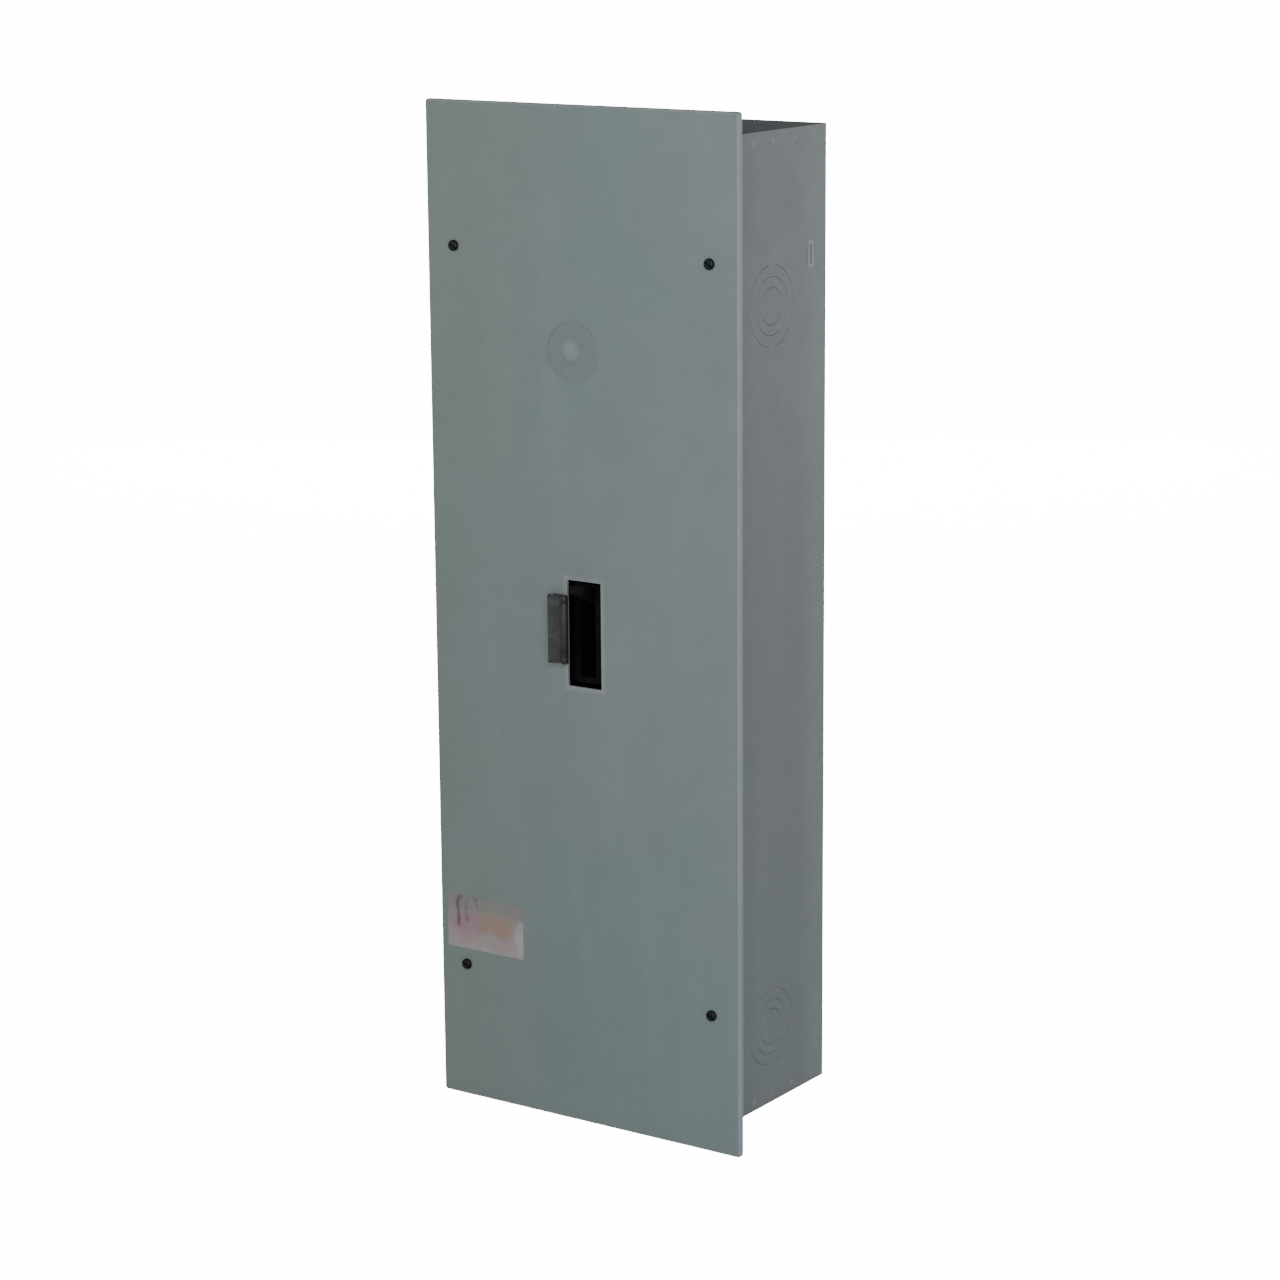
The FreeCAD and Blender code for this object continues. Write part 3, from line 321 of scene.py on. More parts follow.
# ---- materials -----------------------------------------------------------------------------------
def enamel(name, colour, green, blue, edge_wear_and_highlight, coat, marks_and_light):
    """Satin grey sheet-metal enamel: mottled, finely orange-peeled, scuffed, and lighter at the edges,
    part wear and part painted highlight.

    The edge weight, the fourth argument, is how strongly the edges are lightened, part wear and part
    painted highlight; coat is the weight of the gloss over the paint.
    The last argument, called with (surface, base), adds one sheet's own marks and painted light to the
    colour.
    """
    s = Surface(name, specular=0.45)
    s.shader.inputs["Coat Weight"].default_value = coat
    s.shader.inputs["Coat Roughness"].default_value = 0.22

    base = s.blend(s.patches(3.2, (0.36, 0.64), detail=4.0, roughness=0.6), green, blue)
    cloud = s.patches(19.0, (0.35, 0.75), (0.0, 0.28), detail=5.0, roughness=0.62, distortion=0.4)
    base = s.blend(cloud, base, shade(colour, 0.8))
    runs = s.patches(9.0, (0.5, 0.78), (0.0, 0.3), detail=4.0, roughness=0.6, distortion=0.2,
                     stretch=(3.0, 3.0, 0.35))
    base = s.blend(runs, base, shade(colour, 1.22))
    fleck = s.times(s.span(s.cells(420.0), 0.0, 0.1, 1.0, 0.0), s.patches(60.0, (0.56, 0.66)))
    base = s.blend(s.times(fleck, 0.45), base, shade(colour, 0.45))
    scuff = s.patches(46.0, (0.6, 0.72), detail=8.0, roughness=0.72, distortion=1.6,
                      stretch=(1.0, 1.0, 2.6))
    scuff = s.times(scuff, s.patches(7.0, (0.48, 0.62)))
    base = s.blend(s.times(scuff, 0.22), base, shade(colour, 1.5))
    # Lighter edges: part wear, part painted highlight.
    rim = s.patches(130.0, (0.34, 0.62), (0.35, 1.0), detail=5.0, roughness=0.7)
    rim = s.times(s.edges(1.6 * MM), rim)
    base = s.blend(s.times(rim, edge_wear_and_highlight), base, shade(colour, 1.9))
    base = marks_and_light(s, base)

    rough = s.patches(24.0, (0.3, 0.72), (0.36, 0.52), detail=6.0, roughness=0.65)
    rough = s.maths("ADD", rough, s.times(scuff, 0.12))
    peel = s.bump(s.noise(520.0, detail=2.0, roughness=0.5), 0.06 * MM, 0.5)
    wave = s.bump(s.noise(16.0, detail=2.0, roughness=0.5), 0.5 * MM, 0.35, peel)
    return s.finish(base, rough, s.bump(s.times(scuff, -1.0), 0.03 * MM, 0.4, wave))


def cover_marks_and_light(s, base):
    """Painted light brighter and bluer to the right, a painted highlight along the cover's fold, a lighter
    ring round its opening, and painted shade inside the roundel with a painted highlight in its middle.
    """
    # Painted light: the cover darker and greener at the left, brighter and bluer at the right.
    painted_light = s.blend(s.span(s.axis("X"), COVER_LOW.x, COVER_HIGH.x), PAINTED_LIGHT_LEFT, PAINTED_LIGHT_RIGHT)
    base = s.blend(1.0, base, painted_light, "MULTIPLY")

    # Painted highlight along the cover's fold, broken up in patches.
    fold = s.span(s.past_rectangle("X", COVER_LOW.xz, COVER_HIGH.xz), *FOLD_HIGHLIGHT_BAND)
    highlight_patches = s.patches(38.0, (0.3, 0.7), (0.55, 1.0), detail=5.0, roughness=0.65, distortion=0.3,
                       stretch=(1.0, 1.0, 0.4))
    base = s.blend(s.times(fold, highlight_patches), base, FOLD_HIGHLIGHT)

    # Lighter ring round the opening, in patches.
    ring = s.span(s.past_rectangle("X", *OPENING), *OPENING_BAND, 1.0, 0.0, smooth=True)
    opening_patches = s.patches(90.0, (0.3, 0.68), (0.3, 0.85), detail=5.0, roughness=0.65, distortion=0.5)
    base = s.blend(s.times(ring, opening_patches), base, OPENING_LIGHTER)

    low, high = ROUNDEL
    radius = (high.x - low.x) / 2
    away = s.from_point((low.x + high.x) / 2, (low.z + high.z) / 2)
    # Painted shade inside the roundel, for a recessed look.
    inside = s.span(away, *(radius + k for k in ROUNDEL_SHADE_BAND), 1.0, 0.0, smooth=True)
    shade_patches = s.patches(60.0, (0.3, 0.7), (0.25, 0.75), detail=5.0, roughness=0.65, distortion=0.8)
    base = s.blend(s.times(inside, shade_patches), base, shade(COVER_GREY, 0.8))
    # Painted highlight on the roundel's middle.
    roundel_highlight = s.span(away, *(radius * k for k in ROUNDEL_HIGHLIGHT_SPREAD), 0.6, 0.0, smooth=True)
    return s.blend(roundel_highlight, base, shade(COVER_GREY, 1.35))


def box_marks_and_light(s, base):
    """Painted light lighter towards the back edge, and a painted highlight on the nailing pads."""
    # Painted light: the box lighter towards its back.
    near_back = s.span(s.axis("Y"), *(BOX_HIGH.y + k for k in BACK_LIGHT_BAND), 0.0, 0.75, smooth=True)
    back_light_patches = s.patches(22.0, (0.3, 0.7), (0.5, 1.0), detail=5.0, roughness=0.65, distortion=0.6)
    base = s.blend(s.times(near_back, back_light_patches), base, shade(BOX_GREY, 1.28))

    # Painted highlight on the nailing pad.
    low, high = PAD
    pad = s.span(s.past_rectangle("Y", low.yz, high.yz), *PAD_HIGHLIGHT_BAND, 1.0, 0.0, smooth=True)
    highlight_patches = s.patches(70.0, (0.3, 0.7), (0.7, 1.0), detail=5.0, roughness=0.65, distortion=0.4)
    return s.blend(s.times(pad, highlight_patches), base, shade(BOX_GREY, 1.75))


def plated(name, colour, rough, grain=(1.0, 1.0, 1.0), tarnish=0.35, thread_from=None):
    """Bare or plated metal with drawn grain, dull patches and brighter worn edges.

    rough is its lowest and highest roughness. grain is smallest on the axis that the grain follows.
    With thread_from, there is a screw thread from that Y back.
    """
    s = Surface(name, metallic=1.0)
    fine = s.noise(900.0, detail=4.0, roughness=0.6, stretch=grain)
    patch = s.noise(70.0, detail=5.0, roughness=0.65, distortion=0.8)
    base = s.blend(s.span(patch, 0.38, 0.68, 0.0, tarnish), shade(colour, 1.0), shade(colour, 0.45))
    base = s.blend(s.span(fine, 0.4, 0.75, 0.0, 0.25), base, shade(colour, 1.35))
    base = s.blend(s.times(s.edges(0.5 * MM), 0.5), base, shade(colour, 1.5))
    mixed = s.maths("ADD", s.times(fine, 0.5), s.times(patch, 0.5))
    normal = s.bump(fine, 0.02 * MM, 0.6)
    if thread_from is not None:
        depth = s.axis("Y")
        wave = s.maths("SINE", s.times(depth, math.tau / SCREW_PITCH))
        on_shank = s.span(depth, thread_from, thread_from + THREAD_RUN_IN)
        normal = s.bump(s.times(wave, on_shank), THREAD_DEPTH, 1.0, normal)
    return s.finish(base, s.span(mixed, 0.35, 0.65, *rough), normal)


def moulding(name, colour, rough, dust=0.12, specular=0.4):
    """Thermoset or nylon moulding with spark-eroded grain, rubbed edges and a trace of dust."""
    s = Surface(name, specular=specular)
    flow = s.patches(26.0, (0.35, 0.7), detail=4.0, roughness=0.6, distortion=0.9)
    base = s.blend(flow, shade(colour, 0.85), shade(colour, 1.2))
    settled = s.patches(85.0, (0.5, 0.78), (0.0, dust), detail=7.0, roughness=0.7)
    base = s.blend(settled, base, DUST)
    base = s.blend(s.times(s.edges(0.6 * MM), 0.16), base, shade(colour, 2.4))
    roughness = s.patches(50.0, (0.35, 0.7), (rough - 0.07, rough + 0.1), detail=5.0, roughness=0.6)
    grain = s.bump(s.noise(1500.0, roughness=0.6), 0.035 * MM, 0.6)
    return s.finish(base, roughness, s.bump(s.noise(120.0, detail=2.0), 0.15 * MM, 0.15, grain))


def dark_steel(name, colour):
    """Dark oxide-painted steel: rubbed streaks where the flap is handled, painted shade round its rim."""
    s = Surface(name, metallic=0.35)
    patch = s.patches(90.0, (0.36, 0.7), detail=6.0, roughness=0.68, distortion=0.7)
    base = s.blend(patch, shade(colour, 0.75), shade(colour, 1.5))
    rub = s.patches(240.0, (0.58, 0.76), (0.0, 0.4), detail=5.0, roughness=0.7, distortion=0.5,
                    stretch=(1.0, 1.0, 0.25))
    base = s.blend(rub, base, shade(colour, 2.6))
    worn = s.times(s.edges(0.7 * MM), s.patches(300.0, (0.4, 0.6), (0.2, 1.0), detail=4.0))
    base = s.blend(s.times(worn, 0.55), base, shade(colour, 4.2))
    # Painted shade round the flap's rim.
    shade_patches = s.patches(120.0, (0.3, 0.7), (0.6, 1.0), detail=5.0, roughness=0.65, distortion=0.6)
    rim = s.past_rectangle("X", FLAP_LOW.xz, FLAP_HIGH.xz)
    rim = s.span(rim, *FLAP_SHADE_BAND, 0.0, 0.6, smooth=True)
    base = s.blend(s.times(shade_patches, rim), base, shade(colour, 0.3))
    rough = s.patches(160.0, (0.3, 0.7), (0.4, 0.58), detail=5.0, roughness=0.6)
    return s.finish(base, rough, s.bump(s.noise(800.0), 0.05 * MM, 0.5))


def printed_label(name):
    """Faded sticker: pale border, blotched rosy and orange blocks, all blank, rubbed through in places."""
    s = Surface(name, specular=0.3)
    u = s.span(s.axis("X"), LABEL_LOW.x, LABEL_HIGH.x)
    v = s.span(s.axis("Z"), LABEL_LOW.z, LABEL_HIGH.z)
    wander = s.patches(75.0, (0.25, 0.75), (-0.05, 0.05), detail=4.0, roughness=0.6, distortion=0.5)
    u_soft = s.maths("ADD", u, wander)
    v_soft = s.maths("ADD", v, s.times(wander, 1.6))

    paper = s.patches(140.0, (0.35, 0.7), detail=6.0, roughness=0.7)
    art = s.blend(paper, LABEL_PAPER_DARK, LABEL_PAPER)
    art = s.blend(s.times(s.span(v, 0.35, 0.8), 0.92), art, LABEL_BLEACHED)
    worn = s.patches(44.0, (0.34, 0.62), detail=6.0, roughness=0.7, distortion=0.9)
    for left, right, bottom, top, soft, strength, ink in LABEL_BLOCKS:
        inside = s.times(s.between(u_soft, left, right, soft), s.between(v_soft, bottom, top, soft))
        kept = s.span(worn, 0.0, 1.0, 0.45 * strength, strength)
        art = s.blend(s.times(inside, kept), art, ink)

    streaks = s.patches(150.0, (0.52, 0.7), roughness=0.6, distortion=0.2, stretch=(1.0, 1.0, 0.12))
    streaks = s.times(streaks, s.span(v, 0.3, 0.85))
    streaks = s.times(streaks, s.span(u, 0.35, 0.55, 1.0, 0.0))
    art = s.blend(s.times(streaks, 0.8), art, LABEL_STREAK)
    rub = s.patches(210.0, (0.6, 0.74), detail=7.0, roughness=0.72, distortion=1.2,
                    stretch=(1.0, 1.0, 0.6))
    art = s.blend(s.times(rub, 0.5), art, COVER_GREY)
    rough = s.patches(220.0, (0.3, 0.7), (0.42, 0.58), detail=4.0)
    return s.finish(art, rough, s.bump(s.noise(420.0, detail=4.0, roughness=0.6), 0.03 * MM, 0.5))


def plain_label(name):
    """Blank grey-white label with a faint paper mottle, for the breaker inside the box."""
    s = Surface(name, specular=0.4)
    mottle = s.patches(160.0, (0.35, 0.7), detail=6.0, roughness=0.7)
    base = s.blend(mottle, BREAKER_PAPER_DARK, BREAKER_PAPER)
    rough = s.patches(200.0, (0.3, 0.7), (0.35, 0.55), detail=4.0)
    return s.finish(base, rough, s.bump(s.noise(600.0), 0.02 * MM, 0.4))


def slot_materials():
    """One material for each of the record's slots.

    Metals have a colour, the lowest and highest roughness and the grain; mouldings a colour and
    a roughness.
    """
    return {
        "cover_paint": enamel("cover_paint", COVER_GREY, COVER_GREEN, COVER_BLUE, 0.8, 0.3,
                              cover_marks_and_light),
        "box_paint": enamel("box_paint", BOX_GREY, BOX_GREEN, BOX_BLUE, 0.4, 0.1, box_marks_and_light),
        "zinc_steel": plated("zinc_steel", (0.52, 0.51, 0.47), (0.3, 0.5), (1.0, 1.0, 0.1)),
        "dark_screw": plated("dark_screw", (0.035, 0.036, 0.038), (0.38, 0.55), thread_from=FACE_Y),
        "label_stock": printed_label("label_stock"),
        "breaker_label_stock": plain_label("breaker_label_stock"),
        "flap_steel": dark_steel("flap_steel", (0.038, 0.04, 0.039)),
        "pin_steel": plated("pin_steel", (0.12, 0.12, 0.12), (0.32, 0.5)),
        "case_black": moulding("case_black", (0.0022, 0.0021, 0.0023), 0.66, dust=0.006, specular=0.1),
        "toggle_black": moulding("toggle_black", (0.0026, 0.0025, 0.0027), 0.6, dust=0.006,
                                 specular=0.14),
        "button_red": moulding("button_red", (0.42, 0.03, 0.02), 0.35),
        "spring_steel": plated("spring_steel", (0.4, 0.4, 0.41), (0.28, 0.45), (1.0, 0.15, 1.0)),
        "insulating_moulding": moulding("insulating_moulding", (0.11, 0.045, 0.025), 0.45),
        "neutral_stand": moulding("neutral_stand", (0.6, 0.59, 0.55), 0.45, dust=0.2),
        "copper": plated("copper", (0.72, 0.33, 0.18), (0.25, 0.45), (1.0, 1.0, 0.12), tarnish=0.5),
        "contact_silver": plated("contact_silver", (0.75, 0.73, 0.68), (0.2, 0.35)),
        "bimetal_strip": plated("bimetal_strip", (0.58, 0.48, 0.33), (0.28, 0.42), (1.0, 0.12, 1.0)),
        "arc_plates": plated("arc_plates", (0.4, 0.38, 0.37), (0.35, 0.55)),
        "lug_aluminium": plated("lug_aluminium", (0.66, 0.66, 0.65), (0.28, 0.45), (1.0, 1.0, 0.15)),
    }


def dress_nodes(materials):
    """Gives every CAD node the material of its slot."""
    for part in RECORD["subparts"]:
        mesh = NODES[part["node"]].data
        mesh.materials.clear()
        mesh.materials.append(materials[part["material_slot"]])


# Width in millimetres of the bevel on each node that has one.
BEVEL_WIDTHS = {
    "breaker_case": 0.35, "breaker_base": 0.35, "toggle_handle": 0.3, "flap_leaf": 0.22,
    "flap_bracket": 0.18, "mounting_pan": 0.25, "neutral_insulator": 0.4, "neutral_bar": 0.25,
    "ground_bar": 0.25, "box_wrapper": 0.15, "box_top_end": 0.15, "box_bottom_end": 0.15,
}
BEVEL_ANGLE = math.radians(40)
MERGE_DISTANCE = 0.002 * MM


def soften_edges():
    """Thin bevels, so that pressed and moulded edges catch light."""
    for node, width in BEVEL_WIDTHS.items():
        piece = NODES[node]
        weld = piece.modifiers.new("weld", "WELD")
        weld.merge_threshold = MERGE_DISTANCE
        bevel = piece.modifiers.new("bevel", "BEVEL")
        bevel.width = width * MM
        bevel.segments = 2
        bevel.limit_method = "ANGLE"
        bevel.angle_limit = BEVEL_ANGLE
        bevel.harden_normals = True
        bevel.use_clamp_overlap = True


# ---- added pieces --------------------------------------------------------------------------------
def in_scene(name, data):
    """A new object that shows the data given."""
    thing = bpy.data.objects.new(name, data)
    bpy.context.scene.collection.objects.link(thing)
    return thing


def piece_from(bm, name, materials, slot_name, body, smooth=True):
    """Turns a finished bmesh into a piece of the object, and frees it."""
    mesh = bpy.data.meshes.new(name)
    bmesh.ops.recalc_face_normals(bm, faces=bm.faces)
    bm.to_mesh(mesh)
    bm.free()
    for face in mesh.polygons:
        face.use_smooth = smooth
    mesh.materials.append(materials[slot_name])
    piece = in_scene(name, mesh)
    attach(piece, body)
    return piece


WELD_RADIUS = 3.0 * MM
WELD_FROM_END = 7.5 * MM
WELD_HEIGHT = 0.05 * MM
WELD_SINK = 0.02 * MM
WELD_WANDER = (1.5 * MM, 0.8 * MM)      # in Y and in Z
# The back wall is the whole object's rearmost face, so its marks end just under its surface.
BACK_WELD_HEIGHT = 0.149 * MM
BACK_WELD_SINK = 0.15 * MM
# Marks in one row, then the place of the first and what the row is longer by, both in pitches.
SIDE_WELD_ROW = (5, 0.7, 0.4)
BACK_WELD_ROW = (7, 0.8, 0.6)
DOME_RINGS, DOME_SEGMENTS = 5, 20


def in_row(low, high, count, first, spare):
    """Evenly spaced places between two ends."""
    return [low + (high - low) * (k + first) / (count + spare) for k in range(count)]


def dome(bm, centre, normal, radius, height):
    """Shallow closed cap with its flat side on a centre, as a spot weld's raised mark."""
    turn = normal.to_track_quat("Z", "Y")
    rows = []
    for k in range(DOME_RINGS):
        r = radius * (1 - k / DOME_RINGS)
        z = height * (1 - (r / radius) ** 2)
        row = []
        for j in range(DOME_SEGMENTS):
            a = math.tau * j / DOME_SEGMENTS
            row.append(bm.verts.new(centre + turn @ Vector((r * math.cos(a), r * math.sin(a), z))))
        rows.append(row)
    top = bm.verts.new(centre + turn @ Vector((0, 0, height)))
    for lower, upper in zip(rows, rows[1:]):
        for j in range(DOME_SEGMENTS):
            n = (j + 1) % DOME_SEGMENTS
            bm.faces.new((lower[j], lower[n], upper[n], upper[j]))
    for j in range(DOME_SEGMENTS):
        bm.faces.new((rows[-1][j], rows[-1][(j + 1) % DOME_SEGMENTS], top))
    bm.faces.new(list(reversed(rows[0])))


def weld_marks(materials):
    """Spot-weld marks where the end walls' flanges meet the wrapper."""
    levels = (BOX_LOW.z + WELD_FROM_END, BOX_HIGH.z - WELD_FROM_END)
    for label, x, outwards in (("left", WALL_LEFT, -1), ("right", WALL_RIGHT, 1)):
        bm = bmesh.new()
        for z in levels:
            for y in in_row(BOX_LOW.y, BOX_HIGH.y, *SIDE_WELD_ROW):
                wander = Vector((0, *(random.uniform(-most, most) for most in WELD_WANDER)))
                place = Vector((x - outwards * WELD_SINK, y, z)) + wander
                dome(bm, place, Vector((outwards, 0, 0)), WELD_RADIUS, WELD_HEIGHT)
        piece_from(bm, "weld_marks_" + label, materials, "box_paint", "enclosure")
    bm = bmesh.new()
    for z in levels:
        for x in in_row(WALL_LEFT, WALL_RIGHT, *BACK_WELD_ROW):
            place = Vector((x, BOX_HIGH.y - BACK_WELD_SINK, z))
            dome(bm, place, Vector((0, 1, 0)), WELD_RADIUS, BACK_WELD_HEIGHT)
    piece_from(bm, "weld_marks_back", materials, "box_paint", "enclosure")


# The walls' Y range that holds knockouts and nothing else.
KNOCKOUT_DEPTHS = (BOX_LOW.y + 25 * MM, BOX_HIGH.y - 40 * MM)
# Along each wall, the limits that part one knockout from the next.
SIDE_KNOCKOUTS = (BOX_LOW.z + 10 * MM, 0, BOX_HIGH.z - 10 * MM)
END_KNOCKOUTS = (WALL_LEFT, -36 * MM, 36 * MM, WALL_RIGHT)
# Node, axis of the wall's normal, the wall's place on it, limits.
KNOCKOUT_WALLS = (
    ("box_wrapper", 0, WALL_LEFT, SIDE_KNOCKOUTS),
    ("box_wrapper", 0, WALL_RIGHT, SIDE_KNOCKOUTS),
    ("box_bottom_end", 2, BOX_LOW.z, END_KNOCKOUTS),
    ("box_top_end", 2, BOX_HIGH.z, END_KNOCKOUTS),
)
ON_WALL = 0.05 * MM         # points nearer than this to a wall's face lie in it
SAME_CUT = 2 * MM           # radii closer than this are the two sides of one cut
FILM_OVERLAP = 0.1 * MM
FILM_DEPTHS = (1.1 * MM, 1.4 * MM)
FILM_SEGMENTS = 72


def knockout_seams(node, axis, level, limits):
    """Each ring cut in a flat wall, from the wall's mesh: its centre and the film's two radii."""
    along = 2 - axis
    points = [(v.co.y, v.co[along]) for v in NODES[node].data.vertices
              if abs(v.co[axis] - level) < ON_WALL
              and KNOCKOUT_DEPTHS[0] < v.co.y < KNOCKOUT_DEPTHS[1]]
    seams = []
    for low, high in zip(limits, limits[1:]):
        near = [p for p in points if low < p[1] < high]
        centre = [(min(p[k] for p in near) + max(p[k] for p in near)) / 2 for k in range(2)]
        rings = []
        for reach in sorted(math.hypot(p[0] - centre[0], p[1] - centre[1]) for p in near):
            if rings and reach - rings[-1][1] < SAME_CUT:
                rings[-1][1] = reach
            else:
                rings.append([reach, reach])
        seams += [(centre, inner - FILM_OVERLAP, outer + FILM_OVERLAP) for inner, outer in rings]
    return seams


def seam_film(bm, axis, level, seam):
    """Closed flat ring of enamel, part of the way down a knockout's cut."""
    (y, along), inner, outer = seam
    inwards = -1 if level > 0 else 1
    near, far = FILM_DEPTHS
    rows = []
    for radius, depth in ((outer, near), (inner, near), (inner, far), (outer, far)):
        row = []
        for j in range(FILM_SEGMENTS):
            a = math.tau * j / FILM_SEGMENTS
            place = Vector((0, y + radius * math.cos(a), 0))
            place[axis] = level + inwards * depth
            place[2 - axis] = along + radius * math.sin(a)
            row.append(bm.verts.new(place))
        rows.append(row)
    for row, other in zip(rows, rows[1:] + rows[:1]):
        for j in range(FILM_SEGMENTS):
            n = (j + 1) % FILM_SEGMENTS
            bm.faces.new((row[j], row[n], other[n], other[j]))


def knockout_enamel(materials):
    """Enamel that bridges the hairline cuts round the knockouts."""
    bm = bmesh.new()
    for node, axis, level, limits in KNOCKOUT_WALLS:
        for seam in knockout_seams(node, axis, level, limits):
            seam_film(bm, axis, level, seam)
    piece_from(bm, "knockout_enamel", materials, "box_paint", "enclosure", smooth=False)


LABEL_COLUMNS, LABEL_ROWS = 60, 36
LABEL_CORNER = 2.0 * MM
LABEL_THICKNESS = 0.13 * MM
LABEL_GLUE = 0.01 * MM
LABEL_BUBBLE = 0.03 * MM
BUBBLE_WAVES = ((17, 3), (-2, 11))      # radians across and up the label
LABEL_LIFT = 0.07 * MM
LIFT_FROM = (0.86, 0.8)     # where lifting begins along the top edge and up the right one


def round_corner(x, z):
    """Presses the square corners of the label's grid into round ones, and leaves the rest."""
    cx = min(max(x, LABEL_LOW.x + LABEL_CORNER), LABEL_HIGH.x - LABEL_CORNER)
    cz = min(max(z, LABEL_LOW.z + LABEL_CORNER), LABEL_HIGH.z - LABEL_CORNER)
    dx, dz = x - cx, z - cz
    if dx and dz:
        shrink = max(abs(dx), abs(dz)) / math.hypot(dx, dz)
        return cx + dx * shrink, cz + dz * shrink
    return x, z


def label_rise(u, v):
    """How far the label stands off its glue: faint bubbles, and the upper right corner's lift."""
    bubble = math.prod(math.sin(across * u + up * v) for across, up in BUBBLE_WAVES)
    past_u, past_v = ((t - start) / (1 - start) for t, start in zip((u, v), LIFT_FROM))
    rise = LABEL_BUBBLE * max(0.0, bubble) + LABEL_LIFT * max(0.0, past_u + past_v - 1.0)
    return min(rise, LABEL_LIFT)


def sticker(materials):
    """Label with rounded corners, faint bubbles under it and one corner that has begun to lift."""
    bm = bmesh.new()
    front, back = {}, {}
    for i in range(LABEL_COLUMNS + 1):
        for j in range(LABEL_ROWS + 1):
            u, v = i / LABEL_COLUMNS, j / LABEL_ROWS
            x, z = round_corner(LABEL_LOW.x + (LABEL_HIGH.x - LABEL_LOW.x) * u,
                                LABEL_LOW.z + (LABEL_HIGH.z - LABEL_LOW.z) * v)
            front[i, j] = bm.verts.new((x, FACE_Y - LABEL_THICKNESS - label_rise(u, v), z))
            back[i, j] = bm.verts.new((x, FACE_Y - LABEL_GLUE, z))
    for i in range(LABEL_COLUMNS):
        for j in range(LABEL_ROWS):
            bm.faces.new((front[i, j], front[i + 1, j], front[i + 1, j + 1], front[i, j + 1]))
            bm.faces.new((back[i, j + 1], back[i + 1, j + 1], back[i + 1, j], back[i, j]))
    rim = [(i, 0) for i in range(LABEL_COLUMNS)]
    rim += [(LABEL_COLUMNS, j) for j in range(LABEL_ROWS)]
    rim += [(i, LABEL_ROWS) for i in range(LABEL_COLUMNS, 0, -1)]
    rim += [(0, j) for j in range(LABEL_ROWS, 0, -1)]
    for here, there in zip(rim, rim[1:] + rim[:1]):
        bm.faces.new((front[here], back[here], back[there], front[there]))
    piece = piece_from(bm, "label_sticker", materials, "label_stock", "cover", smooth=False)
    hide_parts("cover_label")


# ---- floor, light and camera ---------------------------------------------------------------------
FLOOR_HALF = 6.0
FLOOR_DROP = 0.2 * MM
FLOOR_GLOW = 15.5
FLOOR_GREYS = ((0.84, 0.84, 0.84, 1.0), (0.88, 0.88, 0.88, 1.0))


def floor():
    """Pale studio floor, bright enough to run into the backdrop."""
    mesh = bpy.data.meshes.new("floor")
    z = CAD_LOW.z - FLOOR_DROP
    corners = [(-FLOOR_HALF, -FLOOR_HALF, z), (FLOOR_HALF, -FLOOR_HALF, z),
               (FLOOR_HALF, FLOOR_HALF, z), (-FLOOR_HALF, FLOOR_HALF, z)]
    mesh.from_pydata(corners, [], [(0, 1, 2, 3)])
    ground = in_scene("floor", mesh)
    s = Surface("floor_white", specular=0.1)
    base = s.blend(s.noise(4.0), *FLOOR_GREYS)
    s.finish(base, s.patches(12.0, (0.3, 0.7), (0.8, 0.95)), s.bump(s.noise(60.0), 0.1 * MM, 0.2))
    seen = s.add("ShaderNodeLightPath").outputs["Is Camera Ray"]
    glow = s.add("ShaderNodeEmission")
    s.feed(glow.inputs["Strength"], s.span(seen, 0.0, 1.0, 0.0, FLOOR_GLOW))
    both = s.add("ShaderNodeAddShader")
    s.feed(both.inputs[0], s.shader.outputs[0])
    s.feed(both.inputs[1], glow.outputs[0])
    s.feed(s.tree.nodes["Material Output"].inputs["Surface"], both.outputs[0])
    mesh.materials.append(s.material)


MIDDLE = (0.0, -0.1, 0.05)
# Name, place, point it faces, width, height, power in watts, colour.
LIGHTS = (
    ("key", (1.2, -1.8, 0.82), MIDDLE, 1.1, 1.1, 26.6, (0.95, 0.98, 1.0)),
    ("fill_left", (-2.2, -2.4, 0.5), MIDDLE, 2.4, 2.4, 12.5, (0.93, 1.0, 0.96)),
    ("side", (2.0, 0.35, -0.1), (0.1, -0.1, -0.1), 0.9, 0.5, 6.2, (0.97, 0.98, 1.0)),
    ("back", (1.5, 3.0, 0.1), MIDDLE, 1.8, 1.8, 12.0, (1.0, 1.0, 1.0)),
    # This one stays lower than the box's top, which would otherwise shine at the camera.
    ("back_left", (-1.8, 2.6, 0.0), (0.0, -0.1, 0.0), 1.8, 0.5, 20.0, (1.0, 1.0, 1.0)),
)


def studio():
    """Large soft lights round the object."""
    for name, place, aim, width, height, power, colour in LIGHTS:
        data = bpy.data.lights.new(name, "AREA")
        data.shape = "RECTANGLE"
        data.size = width
        data.size_y = height
        data.energy = power
        data.color = colour
        lamp = in_scene(name, data)
        lamp.location = place
        lamp.rotation_euler = (Vector(aim) - Vector(place)).to_track_quat("-Z", "Y").to_euler()


# The sky's strength goes from one value to the other between these heights of a direction, and
# falls to a share of that between these values of the direction's Y, past the object.
HORIZON_STRENGTH, OVERHEAD_STRENGTH = 0.6, 0.18
SKY_HEIGHTS = (0.1, 1.0)
BEHIND = (-0.1, 0.6)
BEHIND_SHARE = 0.2
BACKDROP_STRENGTH = 16.0    # the sky's strength where the camera sees it


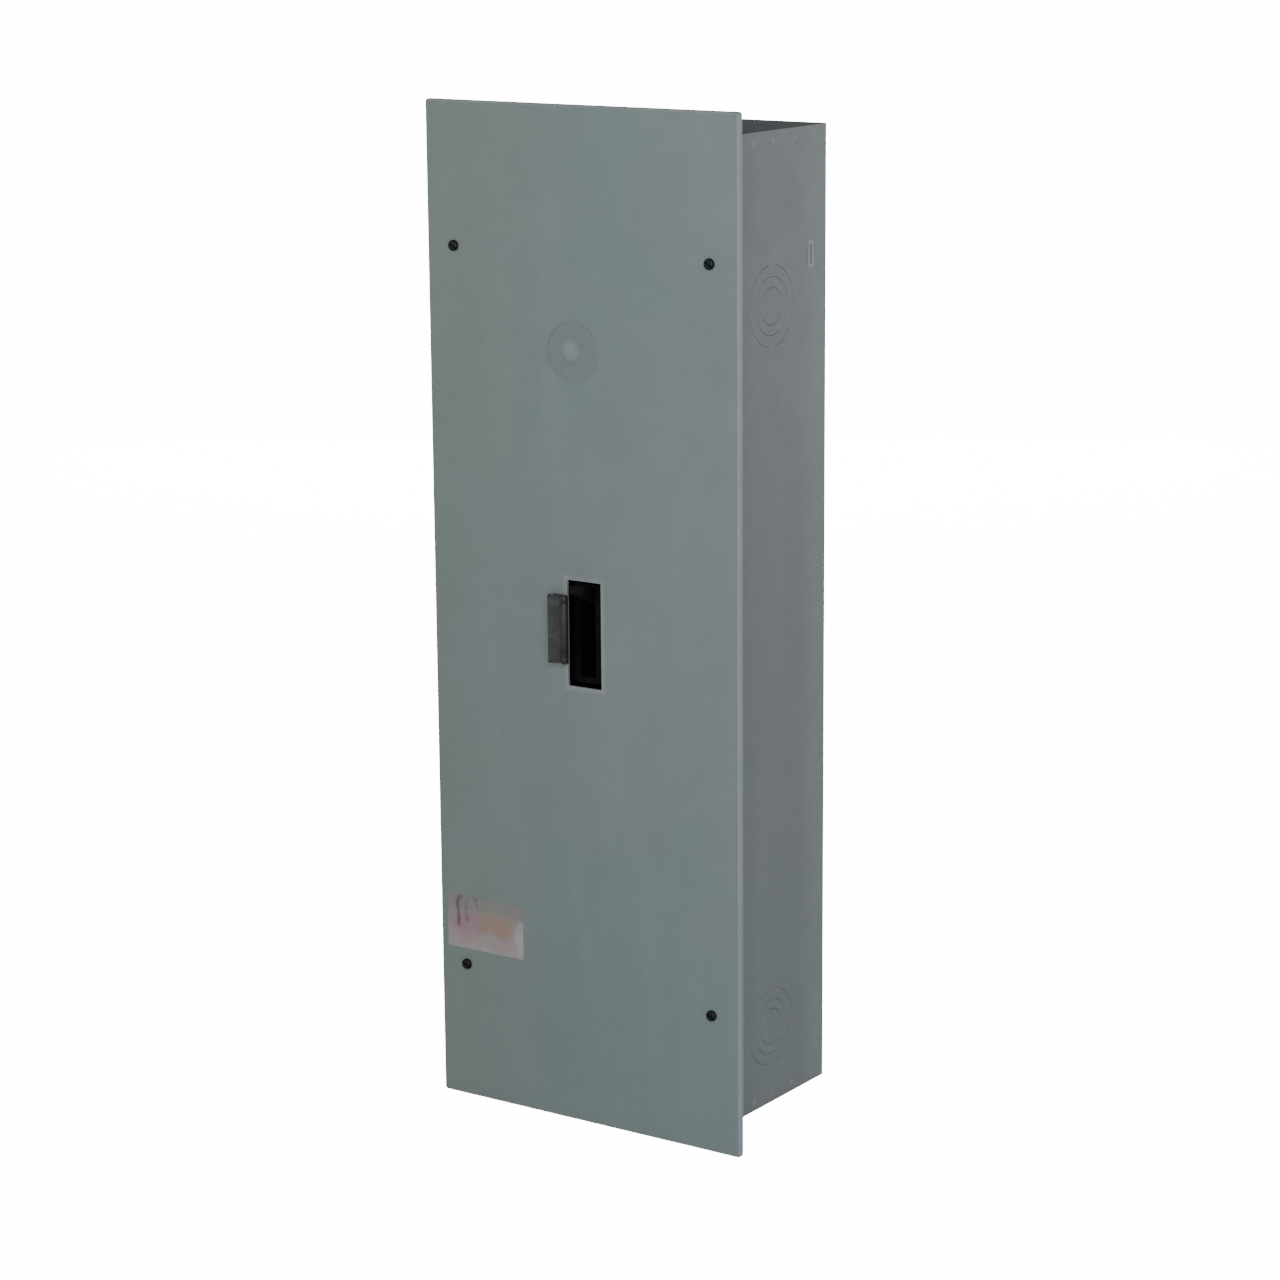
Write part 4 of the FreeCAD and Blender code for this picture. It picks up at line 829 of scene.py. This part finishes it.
def world_light():
    """Dim sky that lights the object, and a white one behind it in the picture."""
    world = bpy.data.worlds.new("studio")
    world.use_nodes = True
    bpy.context.scene.world = world
    sky = Nodes(world.node_tree)
    towards = sky.add("ShaderNodeSeparateXYZ")
    sky.feed(towards.inputs[0], sky.add("ShaderNodeTexCoord").outputs["Generated"])
    by_height = sky.span(towards.outputs["Z"], *SKY_HEIGHTS, HORIZON_STRENGTH, OVERHEAD_STRENGTH)
    dimmed = sky.times(by_height, sky.span(towards.outputs["Y"], *BEHIND, 1.0, BEHIND_SHARE))
    seen = sky.add("ShaderNodeLightPath").outputs["Is Camera Ray"]
    background = sky.tree.nodes["Background"]
    background.inputs["Color"].default_value = (1, 1, 1, 1)
    sky.feed(background.inputs["Strength"], sky.span(seen, 0.0, 1.0, dimmed, BACKDROP_STRENGTH))


CAMERA_YAW, CAMERA_PITCH, CAMERA_ROLL = 34.48, 12.88, -0.44     # degrees
CAMERA_LENS, CAMERA_SENSOR = 99.65, 36.0                        # millimetres
CAMERA_DISTANCE = 3.363 * COVER_HEIGHT
CAMERA_FAR = 30.0
# The point it looks at: a little right of the cover's middle and just in front of its face.
TARGET = Vector((0.0669 * COVER_HEIGHT, FACE_Y - 0.4 * MM, COVER_LOW.z + 0.4989 * COVER_HEIGHT))


def camera():
    """Camera turned left by its yaw and down by its pitch, and rolled about its line of sight."""
    data = bpy.data.cameras.new("camera")
    data.lens = CAMERA_LENS
    data.sensor_width = CAMERA_SENSOR
    data.clip_end = CAMERA_FAR
    eye = in_scene("camera", data)
    yaw, pitch, roll = (math.radians(a) for a in (CAMERA_YAW, CAMERA_PITCH, CAMERA_ROLL))
    ahead = Vector((-math.sin(yaw) * math.cos(pitch), math.cos(yaw) * math.cos(pitch), -math.sin(pitch)))
    right = Vector((math.cos(yaw), math.sin(yaw), 0))
    up = right.cross(ahead)
    right_rolled = math.cos(roll) * right + math.sin(roll) * up
    up_rolled = -math.sin(roll) * right + math.cos(roll) * up
    turn = Matrix((right_rolled, up_rolled, -ahead)).transposed()
    eye.matrix_world = Matrix.Translation(TARGET - CAMERA_DISTANCE * ahead) @ turn.to_4x4()
    bpy.context.scene.camera = eye


# ---- the scene -----------------------------------------------------------------------------------
slots = slot_materials()
dress_nodes(slots)
soften_edges()
weld_marks(slots)
knockout_enamel(slots)
sticker(slots)
floor()
studio()
world_light()
camera()
